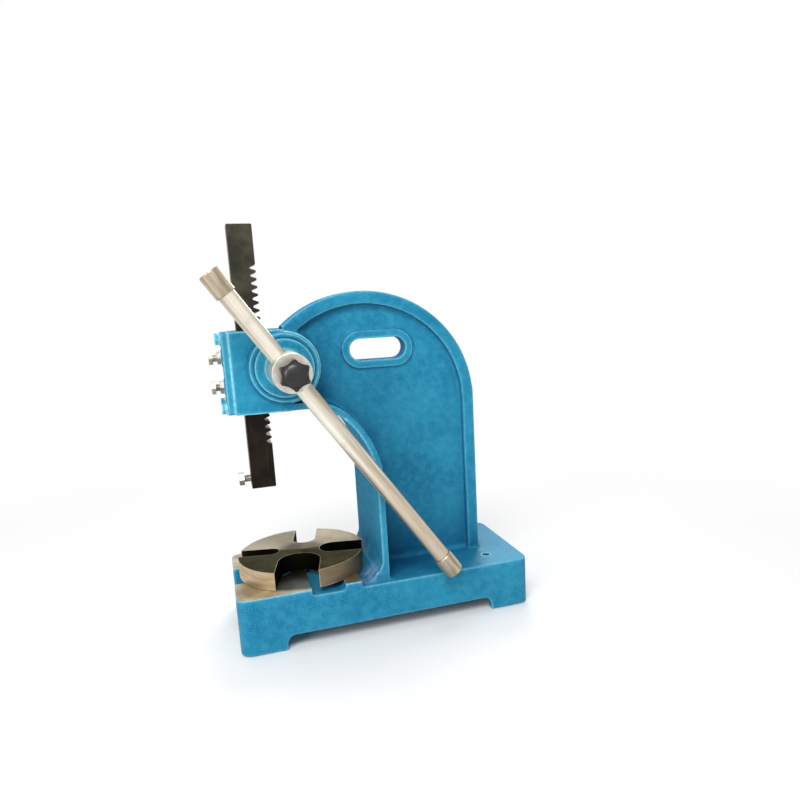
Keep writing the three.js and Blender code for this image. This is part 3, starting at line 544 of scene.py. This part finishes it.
def turned_iron(name, light, dark, face_axis="Z", hollow_radius=0, fan_turn=None):
    # Greyed iron with the rings that turning leaves about the axis. A fan turn paints the half
    # behind that line paler, a painted reflection, and a hollow radius paints the slot walls within it
    # dark, a painted shade
    material, shader = start_finish(name)
    here = places(material)
    rings = add_node(material, "ShaderNodeTexWave", {
        "Vector": here, "Scale": 340, "Distortion": 0.3, "Detail": 2, "Detail Scale": 3,
    }, wave_type="RINGS", rings_direction=face_axis).outputs["Fac"]
    fine = noise(material, here, 700, 3)
    stain = noise(material, here, 26, 5, 0.6)
    body = mixed(material, spread(material, stain, 0.35, 0.7), colour(*light), colour(*dark))
    across = off_plate_axis(material)
    if fan_turn is not None:
        split = parts_of(material, places(material, turn=(0, 0, -fan_turn)))
        behind, aside = (
            counted(material, "DIVIDE", split[axis], counted(material, "ADD", across, fan_core))
            for axis in "YX")
        # Painted reflection: the half of the face behind the fan line is painted paler, most of all on its
        # left
        lit = mixed(material, spread(material, stain, 0.35, 0.7), colour(156, 149, 135),
                    colour(136, 129, 116))
        lit = mixed(material, spread(material, aside, -0.1, 0.5, 0, 0.6), lit, colour(130, 122, 108))
        lit = mixed(material, spread(material, aside, -0.9, -0.3, 0.4, 0), lit, colour(206, 195, 176))
        fan = counted(material, "MULTIPLY", spread(material, behind, -0.02, 0.25),
                      spread(material, across, fan_start, fan_full, 0.3, 1))
        body = mixed(material, fan, body, lit)
    body = mixed(material, spread(material, fine, 0.5, 0.8, 0, 0.15), body, colour(110, 101, 84))
    face = facing_of(material)[face_axis]
    # Painted reflection: the turned sides are painted paler and warmer than the faces, streaked along the
    # axis as turning leaves them
    rim = spread(material, counted(material, "ABSOLUTE", face), 0.2, 0.6, 1, 0)
    streaked = places(material, scale=[8 if axis == face_axis else 1 for axis in "XYZ"])
    warm = mixed(material, spread(material, noise(material, streaked, 30, 3), 0.3, 0.75),
                 colour(208, 188, 158), colour(178, 154, 124))
    # Painted shade: on the plate the rim is painted darker on its right-hand side
    if fan_turn is not None:
        warm = mixed(material, spread(material, aside, -0.1, 0.4, 0, 0.75), warm, colour(92, 76, 58))
    body = mixed(material, rim, body, warm)
    # Painted highlight: a paler line along the turned edges
    body = mixed(material, spread(material, edges_within(material, 0.0014), 0.15, 0.5, 0, 0.7), body,
                 colour(196, 184, 160))
    # Painted shade: the walls of the slots, inside the hollow radius, are painted nearly black
    if hollow_radius:
        inner = counted(material, "MULTIPLY", rim, spread(
            material, across, hollow_radius - turned_edge, hollow_radius, 1, 0))
        body = mixed(material, inner, body, colour(34, 29, 20))
    tangent = add_node(material, "ShaderNodeTangent", direction_type="RADIAL", axis=face_axis)
    give(material, shader.inputs["Base Color"], body)
    give(material, shader.inputs["Metallic"], 1.0)
    give(material, shader.inputs["Roughness"], spread(material, stain, 0.3, 0.7, 0.42, 0.54))
    give(material, shader.inputs["Specular Tint"], (0.45, 0.45, 0.42, 1.0))
    give(material, shader.inputs["Anisotropic"], 0.65)
    give(material, shader.inputs["Tangent"], tangent.outputs["Tangent"])
    grain = bumped(material, fine, 0.00003, 0.5)
    give(material, shader.inputs["Normal"], bumped(material, rings, 0.00003, 0.4, grain))
    return material


plate_iron = turned_iron("turned_plate_iron", (64, 61, 50), (50, 48, 38),
                         hollow_radius=plate_radius - plate_edge, fan_turn=plate_turn)
plate.data.materials.append(plate_iron)
join_on(plate, "plate", "machined_iron", "arbor_plate")


def satin_steel(name, light=(188, 181, 164), dark=(164, 154, 135), turn=(0, 0, 0), stretch=(1, 1, 1)):
    # Bare steel. The stretch draws its marks out along an axis that the turn has laid straight
    material, shader = start_finish(name)
    here = places(material)
    drawn = add_node(material, "ShaderNodeMapping", {
        "Vector": places(material, turn=turn), "Scale": stretch}).outputs["Vector"]
    cloud = noise(material, drawn, 150, 3)
    scratch = noise(material, drawn, 900, 2)
    stain = noise(material, here, 45, 3)
    body = mixed(material, spread(material, cloud, 0.3, 0.7), colour(*light), colour(*dark))
    body = mixed(material, spread(material, stain, 0.55, 0.8, 0, 0.3), body, colour(168, 144, 112))
    give(material, shader.inputs["Base Color"], body)
    give(material, shader.inputs["Metallic"], 0.85)
    give(material, shader.inputs["Roughness"], spread(material, cloud, 0.3, 0.7, 0.3, 0.42))
    give(material, shader.inputs["Normal"], bumped(material, scratch, 0.00003, 0.5))
    return material


shaft_steel = satin_steel("turned_steel")
pivot_pin.data.materials.append(shaft_steel)
join_on(pivot_pin, "frame", "satin_steel", "plate_pivot_pin")


# The ram is a square steel bar, blackened and oiled, with rack teeth milled in the face that
# looks to the column. A hex set screw near its lower end holds a tool in the socket below.
ram_edge = 0.0006
ram_front = -0.060
tool_screw_height = 0.114
tool_screw_reach = 0.0157
tool_screw_head, tool_screw_width = 0.007, 0.016
tool_screw_shaft = 0.005
thread_pitch, thread_depth = 0.0015, 0.0007
rod_sunk_share = 0.2
tool_screw_tip = -0.0523

ram = copy_of_node("rack_ram", "square_ram")
work_on(ram, "DECIMATE", decimate_type="DISSOLVE", angle_limit=math.radians(2))
round_edges(ram, ram_edge, angle=50)
smooth_round(ram)


def hex_head(name, width, height, sides=48):
    # A hexagon with its corners turned off at the outer end, standing on Z from 0 to its height
    corner = width / math.sqrt(3)
    bpy.ops.object.select_all(action="DESELECT")
    bpy.ops.mesh.primitive_cylinder_add(
        vertices=6, radius=corner, depth=height, location=(0, 0, height / 2))
    head = bpy.context.object
    head.name = head.data.name = name
    settle(head)
    crown = turned("crown", [
        (-height, 1.2 * corner), (height - 0.32 * (corner - 0.46 * width), 1.2 * corner),
        (height - 0.3 * (corner - 0.46 * width), 1.02 * corner), (height, 0.46 * width)], sides)
    combine(head, crown, "INTERSECT")
    return head


def threaded_rod(name, radius, length, pitch=thread_pitch, depth=thread_depth):
    # Stands on Z from 0 to its length, with a rounded point at the end
    turns = int(length / pitch) - 1
    profile = [(0, radius - depth)]
    for i in range(turns):
        profile += [((i + share) * pitch, radius - deep * depth)
                    for share, deep in ((0.2, 1), (0.45, 0), (0.6, 0), (0.85, 1))]
    profile += [(length - pitch / 2, radius - depth), (length, radius / 2)]
    return turned(name, profile, 40)


def hex_screw(name, width, head_height, radius, length):
    # The head stands on Z, and its rod hangs below by the length
    head = hex_head(name, width, head_height)
    sunk = rod_sunk_share * head_height
    rod = lay_along(threaded_rod("rod", radius, length + sunk), (0, 0, sunk), (0, 0, -1))
    combine(head, rod, "UNION")
    return head


def zinc_plate(name):
    material, shader = start_finish(name)
    here = places(material)
    cloud = noise(material, here, 90, 3)
    body = mixed(material, spread(material, cloud, 0.3, 0.7), colour(186, 182, 170),
                 colour(146, 142, 130))
    give(material, shader.inputs["Base Color"], body)
    give(material, shader.inputs["Metallic"], 1.0)
    give(material, shader.inputs["Roughness"], spread(material, cloud, 0.3, 0.7, 0.36, 0.48))
    give(material, shader.inputs["Normal"], bumped(material, noise(material, here, 500, 2), 0.00003, 0.4))
    return material


zinc = zinc_plate("zinc_plated_steel")
tool_screw_seat = ram_front - tool_screw_reach + tool_screw_head
tool_screw = hex_screw("ram_set_screw", tool_screw_width, tool_screw_head, tool_screw_shaft,
                       tool_screw_tip - tool_screw_seat)
lay_along(tool_screw, (tool_screw_seat, 0, tool_screw_height), (-1, 0, 0))
smooth_round(tool_screw)
tool_screw.data.materials.append(zinc)
join_on(tool_screw, "ram", "zinc_steel", "tool_clamp_screw")


def black_oxide(name):
    material, shader = start_finish(name)
    here = places(material)
    drawn = noise(material, places(material, scale=(1, 1, 0.08)), 320, 4)
    cloud = noise(material, here, 40, 4)
    height = parts_of(material, here)["Z"]
    # Painted reflection: higher up the ram is painted paler and olive; lower down it stays brown-black
    lower_brown_black = mixed(material, spread(material, cloud, 0.35, 0.7), colour(16, 11, 4), colour(30, 21, 10))
    upper_painted_reflection = mixed(material, spread(material, cloud, 0.35, 0.7), colour(46, 45, 36), colour(64, 61, 49))
    body = mixed(material, spread(material, height, 0.22, 0.40), lower_brown_black, upper_painted_reflection)
    body = mixed(material, spread(material, drawn, 0.55, 0.8, 0, 0.3), body, colour(70, 64, 50))
    body = mixed(material, spread(material, edges_within(material, 0.0012), 0.2, 0.5, 0, 0.6), body,
                 colour(120, 110, 96))
    give(material, shader.inputs["Base Color"], body)
    give(material, shader.inputs["Metallic"], 0.75)
    give(material, shader.inputs["Roughness"], spread(material, cloud, 0.3, 0.7, 0.34, 0.5))
    give(material, shader.inputs["Normal"], bumped(material, drawn, 0.00004, 0.6))
    return material


ram.data.materials.clear()
ram.data.materials.append(black_oxide("black_oxide"))
join_on(ram, "ram", "black_oxide_steel", "rack_ram")


# A painted iron cover closes the front of the head. Four hex bolts on washers hold it, and two
# long screws with jam nuts go through it and press a loose iron gib on the ram.
cover_front, cover_back = -0.0808, -0.07205
cover_half, cover_low, cover_high = 0.0442, 0.2088, 0.3142
cover_corner, cover_edge = 0.005, 0.0009
cover_boss_radius, cover_boss_height = 0.0115, 0.0015
adjuster_heights = (0.242, 0.281)
adjuster_radius, adjuster_room = 0.005, 0.0003
adjuster_reach, adjuster_head, adjuster_width = -0.0982, 0.0054, 0.016
jam_nut_height, jam_nut_back = 0.005, -0.0826
gib_front, gib_back, gib_half = -0.0683, -0.0603, 0.016
gib_dimple = 0.002
bolt_width, bolt_head, bolt_radius = 0.013, 0.0053, 0.004
bolt_seat, bolt_tip = -0.083, -0.0476
washer_radius, washer_thickness, washer_back = 0.008, 0.0016, -0.0811

cover = block((cover_front, -cover_half, cover_low), (cover_back, cover_half, cover_high))
cover.name = cover.data.name = "front_cover"
select_edges(cover, lambda start, end: abs(start.x - end.x) > cover_boss_height)
bpy.ops.mesh.bevel(offset=cover_corner, segments=6, affect="EDGES")
bpy.ops.object.mode_set(mode="OBJECT")
select_edges(cover, lambda start, end: max(start.x, end.x) < cover_front + cover_edge)
bpy.ops.mesh.bevel(offset=cover_edge, segments=3, affect="EDGES")
bpy.ops.object.mode_set(mode="OBJECT")
for height in adjuster_heights:
    boss = turned("cover_boss", [
        (0, cover_boss_radius), (2 * cover_boss_height - cover_edge, cover_boss_radius),
        (2 * cover_boss_height, cover_boss_radius - cover_edge)], 64)
    lay_along(boss, (cover_front + cover_boss_height, 0, height), (-1, 0, 0))
    combine(cover, boss, "UNION")
for height in adjuster_heights:
    drill(cover, (cover_front - cut_room, 0, height), (1, 0, 0),
          cover_back - cover_front + 2 * cut_room, adjuster_radius + adjuster_room, 40)
for side in (-1, 1):
    for height in cover_bolt_heights:
        drill(cover, (cover_front - cut_room, side * cover_bolt_y, height), (1, 0, 0),
              cover_back - cover_front + 2 * cut_room, cover_hole_radius, 32)
smooth_round(cover)
cover_paint = blue_enamel("sprayed_blue_enamel", 0.8)[0]
cover.data.materials.append(cover_paint)
join_on(cover, "frame", "frame_paint", "cover_plate")

gib = block((gib_front, -gib_half, cover_low), (gib_back, gib_half, cover_high))
gib.name = gib.data.name = "ram_gib_strip"
round_edges(gib, ram_edge)
for height in adjuster_heights:
    drill(gib, (gib_front - cut_room, 0, height), (1, 0, 0), cut_room + gib_dimple,
          adjuster_radius + adjuster_room, 40)
smooth_round(gib)
gib.data.materials.append(shaft_steel)
join_on(gib, "frame", "machined_iron", "ram_gib")

for i, height in enumerate(adjuster_heights, 1):
    seat = adjuster_reach + adjuster_head
    screw = hex_screw(f"adjuster_{i}", adjuster_width, adjuster_head, adjuster_radius,
                      gib_front + gib_dimple - adjuster_room - seat)
    lay_along(screw, (seat, 0, height), (-1, 0, 0))
    nut = hex_head(f"adjuster_nut_{i}", adjuster_width, jam_nut_height)
    drill(nut, (0, 0, -cut_room), (0, 0, 1), jam_nut_height + 2 * cut_room,
          adjuster_radius + adjuster_room, 40)
    lay_along(nut, (jam_nut_back, 0, height), (-1, 0, 0))
    for piece, node in ((screw, f"adjusting_screw_{i}"), (nut, f"jam_nut_{i}")):
        smooth_round(piece)
        piece.data.materials.append(zinc)
        join_on(piece, "frame", "zinc_steel", node)

for row, height in enumerate(cover_bolt_heights):
    for column, side in enumerate((-1, 1)):
        number = 2 * row + column + 1
        bolt = hex_screw(f"painted_bolt_{number}", bolt_width, bolt_head, bolt_radius,
                         bolt_tip - bolt_seat)
        lay_along(bolt, (bolt_seat, side * cover_bolt_y, height), (-1, 0, 0))
        washer = turned(f"painted_washer_{number}", [
            (0, washer_radius), (0.8 * washer_thickness, washer_radius),
            (washer_thickness, 0.95 * washer_radius)], 48)
        drill(washer, (0, 0, -cut_room), (0, 0, 1), 2 * cut_room + washer_thickness,
              cover_hole_radius, 32)
        lay_along(washer, (washer_back, side * cover_bolt_y, height), (-1, 0, 0))
        for piece, node in ((bolt, f"cover_bolt_{number}"), (washer, f"cover_washer_{number}")):
            smooth_round(piece)
            piece.data.materials.append(cover_paint)
            join_on(piece, "frame", "frame_paint", node)


# The pinion shaft is turned from one bar of steel: a thick hub that takes the lever, and the
# pinion teeth in the head. At the far side it runs in a flanged iron bush held by three screws.
hub_radius, hub_end, hub_edge = 0.024, -0.138, 0.0013
gear_half = 0.0165
hub_start = gear_half + cut_room
lever_y = -0.107
lever_drop = math.radians(55.6)
lever_axis = Vector((math.cos(lever_drop), 0, -math.sin(lever_drop)))
lever_hole_radius, lever_hole_edge = 0.01135, 0.0008
stud_hole_radius = 0.0053
bush_flange_start, bush_flange_end = 0.0573, 0.0633
bush_radius, bush_bore_radius = 0.028875, 0.0183
bush_screw_head_radius, bush_screw_head_start, bush_screw_head_end = 0.0045, 0.0636, 0.0668
bush_screw_radius, bush_screw_tip = 0.0025, 0.0433
socket_radius, socket_depth = 0.0019, 0.0018

shaft = copy_of_node("pinion_shaft", "pinion_and_hub")
combine(shaft, block((-far, hub_end - cut_room, -far / 4), (far, -hub_start, far)))
hub = turned("hub", [
    (hub_start, hub_radius), (-hub_end - hub_edge, hub_radius),
    (-hub_end - 0.3 * hub_edge, hub_radius - 0.3 * hub_edge), (-hub_end, hub_radius - hub_edge)], 160)
lay_along(hub, (bore_axis.x, 0, bore_axis.z), (0, -1, 0))
lever_centre = Vector((bore_axis.x, lever_y, bore_axis.z))
drill(hub, lever_centre - 2 * hub_radius * lever_axis, lever_axis, 4 * hub_radius,
      lever_hole_radius, 96)
round_edges(hub, lever_hole_edge, angle=50)
drill(hub, (bore_axis.x, hub_end - cut_room, bore_axis.z), (0, 1, 0),
      lever_y - hub_end + cut_room, stud_hole_radius, 48)
combine(shaft, hub, "UNION")
smooth_round(shaft)


def lathe_steel(name):
    # Satin steel with the fine rings that a lathe leaves about the Y axis of the shaft
    material = satin_steel(name, (220, 215, 204), (200, 193, 179))
    shader = material.node_tree.nodes["Principled BSDF"]
    rings = add_node(material, "ShaderNodeTexWave", {
        "Vector": places(material, shift=(-bore_axis.x, 0, -bore_axis.z)), "Scale": 420,
        "Distortion": 0.4, "Detail": 2}, wave_type="RINGS", rings_direction="Y").outputs["Fac"]
    bands = add_node(material, "ShaderNodeTexWave", {
        "Vector": places(material), "Scale": 520, "Distortion": 0.3, "Detail": 2,
    }, wave_type="BANDS", bands_direction="Y").outputs["Fac"]
    under = shader.inputs["Normal"].links[0].from_socket
    give(material, shader.inputs["Normal"], bumped(
        material, counted(material, "ADD", rings, bands), 0.00002, 0.5, under))
    return material


shaft.data.materials.clear()
shaft.data.materials.append(lathe_steel("lathe_turned_steel"))
join_on(shaft, "pinion", "satin_steel", "pinion_shaft")

bush = turned("flanged_bush", [
    (gear_half + pin_room, bush_radius), (bush_flange_start, bush_radius),
    (bush_flange_start, ring_radius),
    (bush_flange_end - turned_edge, ring_radius), (bush_flange_end, ring_radius - turned_edge)], 128)
lay_along(bush, (bore_axis.x, 0, bore_axis.z), (0, 1, 0))
drill(bush, bore_axis, (0, 1, 0), 2 * bush_flange_end, bush_bore_radius, 96)
for i, turn in enumerate(bush_screw_turns, 1):
    spot = Vector((bore_axis.x + bush_screw_circle * math.cos(turn), 0,
                   bore_axis.z + bush_screw_circle * math.sin(turn)))
    drill(bush, spot + Vector((0, bush_flange_start - cut_room, 0)), (0, 1, 0), 4 * cut_room,
          bush_hole_radius, 24)
    screw = turned(f"bush_cap_screw_{i}", [
        (bush_screw_tip, bush_screw_radius), (bush_screw_head_start, bush_screw_radius),
        (bush_screw_head_start, bush_screw_head_radius),
        (bush_screw_head_end - 2 * turned_edge, bush_screw_head_radius),
        (bush_screw_head_end - turned_edge, 0.9 * bush_screw_head_radius),
        (bush_screw_head_end, 0.65 * bush_screw_head_radius)], 48)
    drill(screw, (0, 0, bush_screw_head_end - socket_depth), (0, 0, 1), 2 * socket_depth, socket_radius, 6)
    lay_along(screw, spot, (0, 1, 0))
    smooth_round(screw)
    screw.data.materials.append(zinc)
    join_on(screw, "frame", "zinc_steel", f"bush_screw_{i}")
smooth_round(bush)
bush.data.materials.append(turned_iron("turned_bush_iron", (128, 122, 108), (100, 94, 82), "Y"))
join_on(bush, "frame", "machined_iron", "pinion_bush")


# The lever is a plain ground steel bar that slides through the hub, so that it can be set long
# or short. A turned steel cap is pushed over each end.
bar_radius, bar_edge = 0.011, 0.0015
upper_end, lower_end = -0.145, 0.355
bar_inset = 0.0043
bar_brown_heights = (0.0, 0.2)
cap_radius, cap_length, cap_floor, cap_edge, cap_room = 0.013, 0.031, 0.004, 0.0016, 0.0003

bar = turned("lever_rod", [
    (upper_end + bar_inset, bar_radius - bar_edge), (upper_end + bar_inset + bar_edge, bar_radius),
    (lower_end - bar_inset - bar_edge, bar_radius), (lower_end - bar_inset, bar_radius - bar_edge)], 96)
lay_along(bar, lever_centre, lever_axis)
smooth_round(bar)
bar_turn = (0, math.pi / 2 - lever_drop, 0)
bar_steel = satin_steel("ground_steel", (234, 229, 216), (178, 163, 140), bar_turn, (1, 1, 0.04))
bar_shader = bar_steel.node_tree.nodes["Principled BSDF"]
# The bar is painted browner towards its lower end
bar_height = parts_of(bar_steel, places(bar_steel))["Z"]
give(bar_steel, bar_shader.inputs["Base Color"], mixed(
    bar_steel, spread(bar_steel, bar_height, *bar_brown_heights, 0.5, 0),
    bar_shader.inputs["Base Color"].links[0].from_socket, colour(180, 152, 116)))
bar.data.materials.append(bar_steel)
join_on(bar, "lever", "satin_steel", "lever_bar")

cap_steel = satin_steel("cap_steel", (202, 190, 168), (146, 132, 110), bar_turn, (1, 1, 0.12))

for name, node, end, inward in (
        ("upper_cap", "lever_cap_upper", upper_end, lever_axis),
        ("lower_cap", "lever_cap_lower", lower_end, -lever_axis)):
    cap = turned(name, [
        (0, cap_radius - cap_edge), (0.3 * cap_edge, cap_radius - 0.3 * cap_edge), (cap_edge, cap_radius),
        (cap_length - 0.4 * cap_edge, cap_radius), (cap_length, cap_radius - 0.4 * cap_edge)], 96)
    drill(cap, (0, 0, cap_floor), (0, 0, 1), cap_length, bar_radius + cap_room, 96)
    lay_along(cap, lever_centre + end * lever_axis, inward)
    smooth_round(cap)
    cap.data.materials.append(cap_steel)
    join_on(cap, "lever", "satin_steel", node)


# A moulded black star knob on a steel stud screws into the hub's end and clamps the bar.
stud_radius, stud_tip = 0.005, -0.1183
knob_back, knob_neck, knob_neck_radius = -0.144, 0.007, 0.0095
knob_radius, knob_thickness, knob_rim = 0.019, 0.014, 0.0022
knob_scallops, scallop_radius, scallop_circle = 6, 0.0205, 0.0357
crown_radius, crown_height = 0.0134, 0.004
scallop_edge, knob_weld_gap = 0.0014, 1e-5

stud = threaded_rod("knob_stud", stud_radius, stud_tip - knob_back + knob_neck)
lay_along(stud, (bore_axis.x, knob_back - knob_neck, bore_axis.z), (0, 1, 0))
smooth_round(stud)
stud.data.materials.append(zinc)
join_on(stud, "clamp_screw", "zinc_steel", "clamp_stud")

knob_front = knob_neck + knob_thickness
rim_steps = [(math.sin(a), 1 - math.cos(a)) for a in (math.radians(30 * i) for i in range(4))]
knob_profile = [(0, knob_neck_radius - turned_edge), (turned_edge, knob_neck_radius),
                (knob_neck, knob_neck_radius)]
knob_profile += [(knob_neck + knob_rim * drop, knob_radius - knob_rim * (1 - rise))
                 for rise, drop in rim_steps]
knob_profile += [(knob_front - knob_rim * drop, knob_radius - knob_rim * (1 - rise))
                 for rise, drop in reversed(rim_steps)]
knob_profile += [(knob_front - turned_edge, 1.08 * crown_radius)]
knob_profile += [(knob_front + crown_height * math.sin(a), crown_radius * math.cos(a))
                 for a in (math.radians(8 + 12 * i) for i in range(7))]
knob = turned("star_knob", knob_profile, 144)
for i in range(knob_scallops):
    a = math.radians(360 * i / knob_scallops)
    drill(knob, (scallop_circle * math.cos(a), scallop_circle * math.sin(a), knob_neck - cut_room),
          (0, 0, 1), knob_thickness + 2 * cut_room, scallop_radius, 64)
round_edges(knob, scallop_edge, segments=3, angle=38)
drill(knob, (0, 0, -cut_room), (0, 0, 1), cut_room + knob_neck + pin_room, stud_hole_radius, 40)
lay_along(knob, (bore_axis.x, knob_back, bore_axis.z), (0, -1, 0))
weld(knob, knob_weld_gap)
smooth_round(knob, 40)


def moulded_black(name):
    material, shader = start_finish(name)
    here = places(material)
    cloud = noise(material, here, 120, 3)
    body = mixed(material, spread(material, cloud, 0.3, 0.7), colour(16, 15, 14), colour(27, 25, 23))
    give(material, shader.inputs["Base Color"], body)
    give(material, shader.inputs["Roughness"], spread(material, cloud, 0.3, 0.7, 0.26, 0.36))
    give(material, shader.inputs["Normal"], bumped(material, noise(material, here, 260, 2), 0.00006, 0.4))
    return material


knob.data.materials.append(moulded_black("moulded_black"))
join_on(knob, "clamp_knob", "black_plastic", "clamp_knob")


# The press stands on a plain pale floor that fades to white. Four soft studio lamps light it
# from the front, the left, above and behind.
floor_size, floor_drop, floor_fade = 12, 0.0004, (0.35, 1.3)
lamp_target = Vector((0.08, 0, 0.12))
room_light = 0.32
lamps = (
    ("key", (-0.3, -1.1, 1.3), 0.8, 18),
    ("left", (-1.8, -1.6, 0.9), 1.0, 24),
    ("top", (0.1, 0.5, 2.4), 1.6, 20),
    ("rear", (0.9, 1.9, 1.3), 1.4, 22))
bpy.ops.object.select_all(action="DESELECT")
bpy.ops.mesh.primitive_plane_add(size=floor_size, location=(0, 0, cad_box[0].z - floor_drop))
floor = bpy.context.object
floor.name = "floor"
floor_paint, floor_shader = start_finish("pale_floor")
distance = add_node(floor_paint, "ShaderNodeVectorMath", {
    0: places(floor_paint)}, operation="LENGTH").outputs["Value"]
floor_shader.inputs["Base Color"].default_value = (0.86, 0.86, 0.86, 1)
floor_shader.inputs["Roughness"].default_value = 0.9
rays = add_node(floor_paint, "ShaderNodeLightPath").outputs
seen = counted(floor_paint, "MAXIMUM", rays["Is Camera Ray"], rays["Is Glossy Ray"])
seen = counted(floor_paint, "MAXIMUM", seen, rays["Is Transmission Ray"])
fade = counted(floor_paint, "MULTIPLY", seen, spread(floor_paint, distance, *floor_fade))
glow = add_node(floor_paint, "ShaderNodeEmission", {"Color": (1, 1, 1, 1), "Strength": 1.0})
both = add_node(floor_paint, "ShaderNodeMixShader", {
    0: fade, 1: floor_shader.outputs["BSDF"], 2: glow.outputs["Emission"]})
floor_out = floor_paint.node_tree.nodes["Material Output"]
floor_paint.node_tree.links.new(both.outputs["Shader"], floor_out.inputs["Surface"])
floor.data.materials.append(floor_paint)

for name, place, size, power in lamps:
    lamp_data = bpy.data.lights.new(name, "AREA")
    lamp_data.shape = "DISK"
    lamp_data.size = size
    lamp_data.energy = power
    lamp = bpy.data.objects.new(name, lamp_data)
    lamp.visible_camera = False
    aim = lamp_target - Vector(place)
    lamp.matrix_world = Matrix.Translation(place) @ aim.to_track_quat("-Z", "Y").to_matrix().to_4x4()
    bpy.context.scene.collection.objects.link(lamp)

world = bpy.data.worlds.new("studio")
bpy.context.scene.world = world
world.use_nodes = True
air = world.node_tree.nodes["Background"]
air.inputs["Color"].default_value = (1, 1, 1, 1)
air_rays = world.node_tree.nodes.new("ShaderNodeLightPath").outputs
air_seen = counted(world, "MAXIMUM", air_rays["Is Camera Ray"], air_rays["Is Glossy Ray"])
air_seen = counted(world, "MAXIMUM", air_seen, air_rays["Is Transmission Ray"])
give(world, air.inputs["Strength"], mixed(world, air_seen, room_light, 1.0, "FLOAT"))
bpy.context.scene.view_settings.view_transform = "Standard"
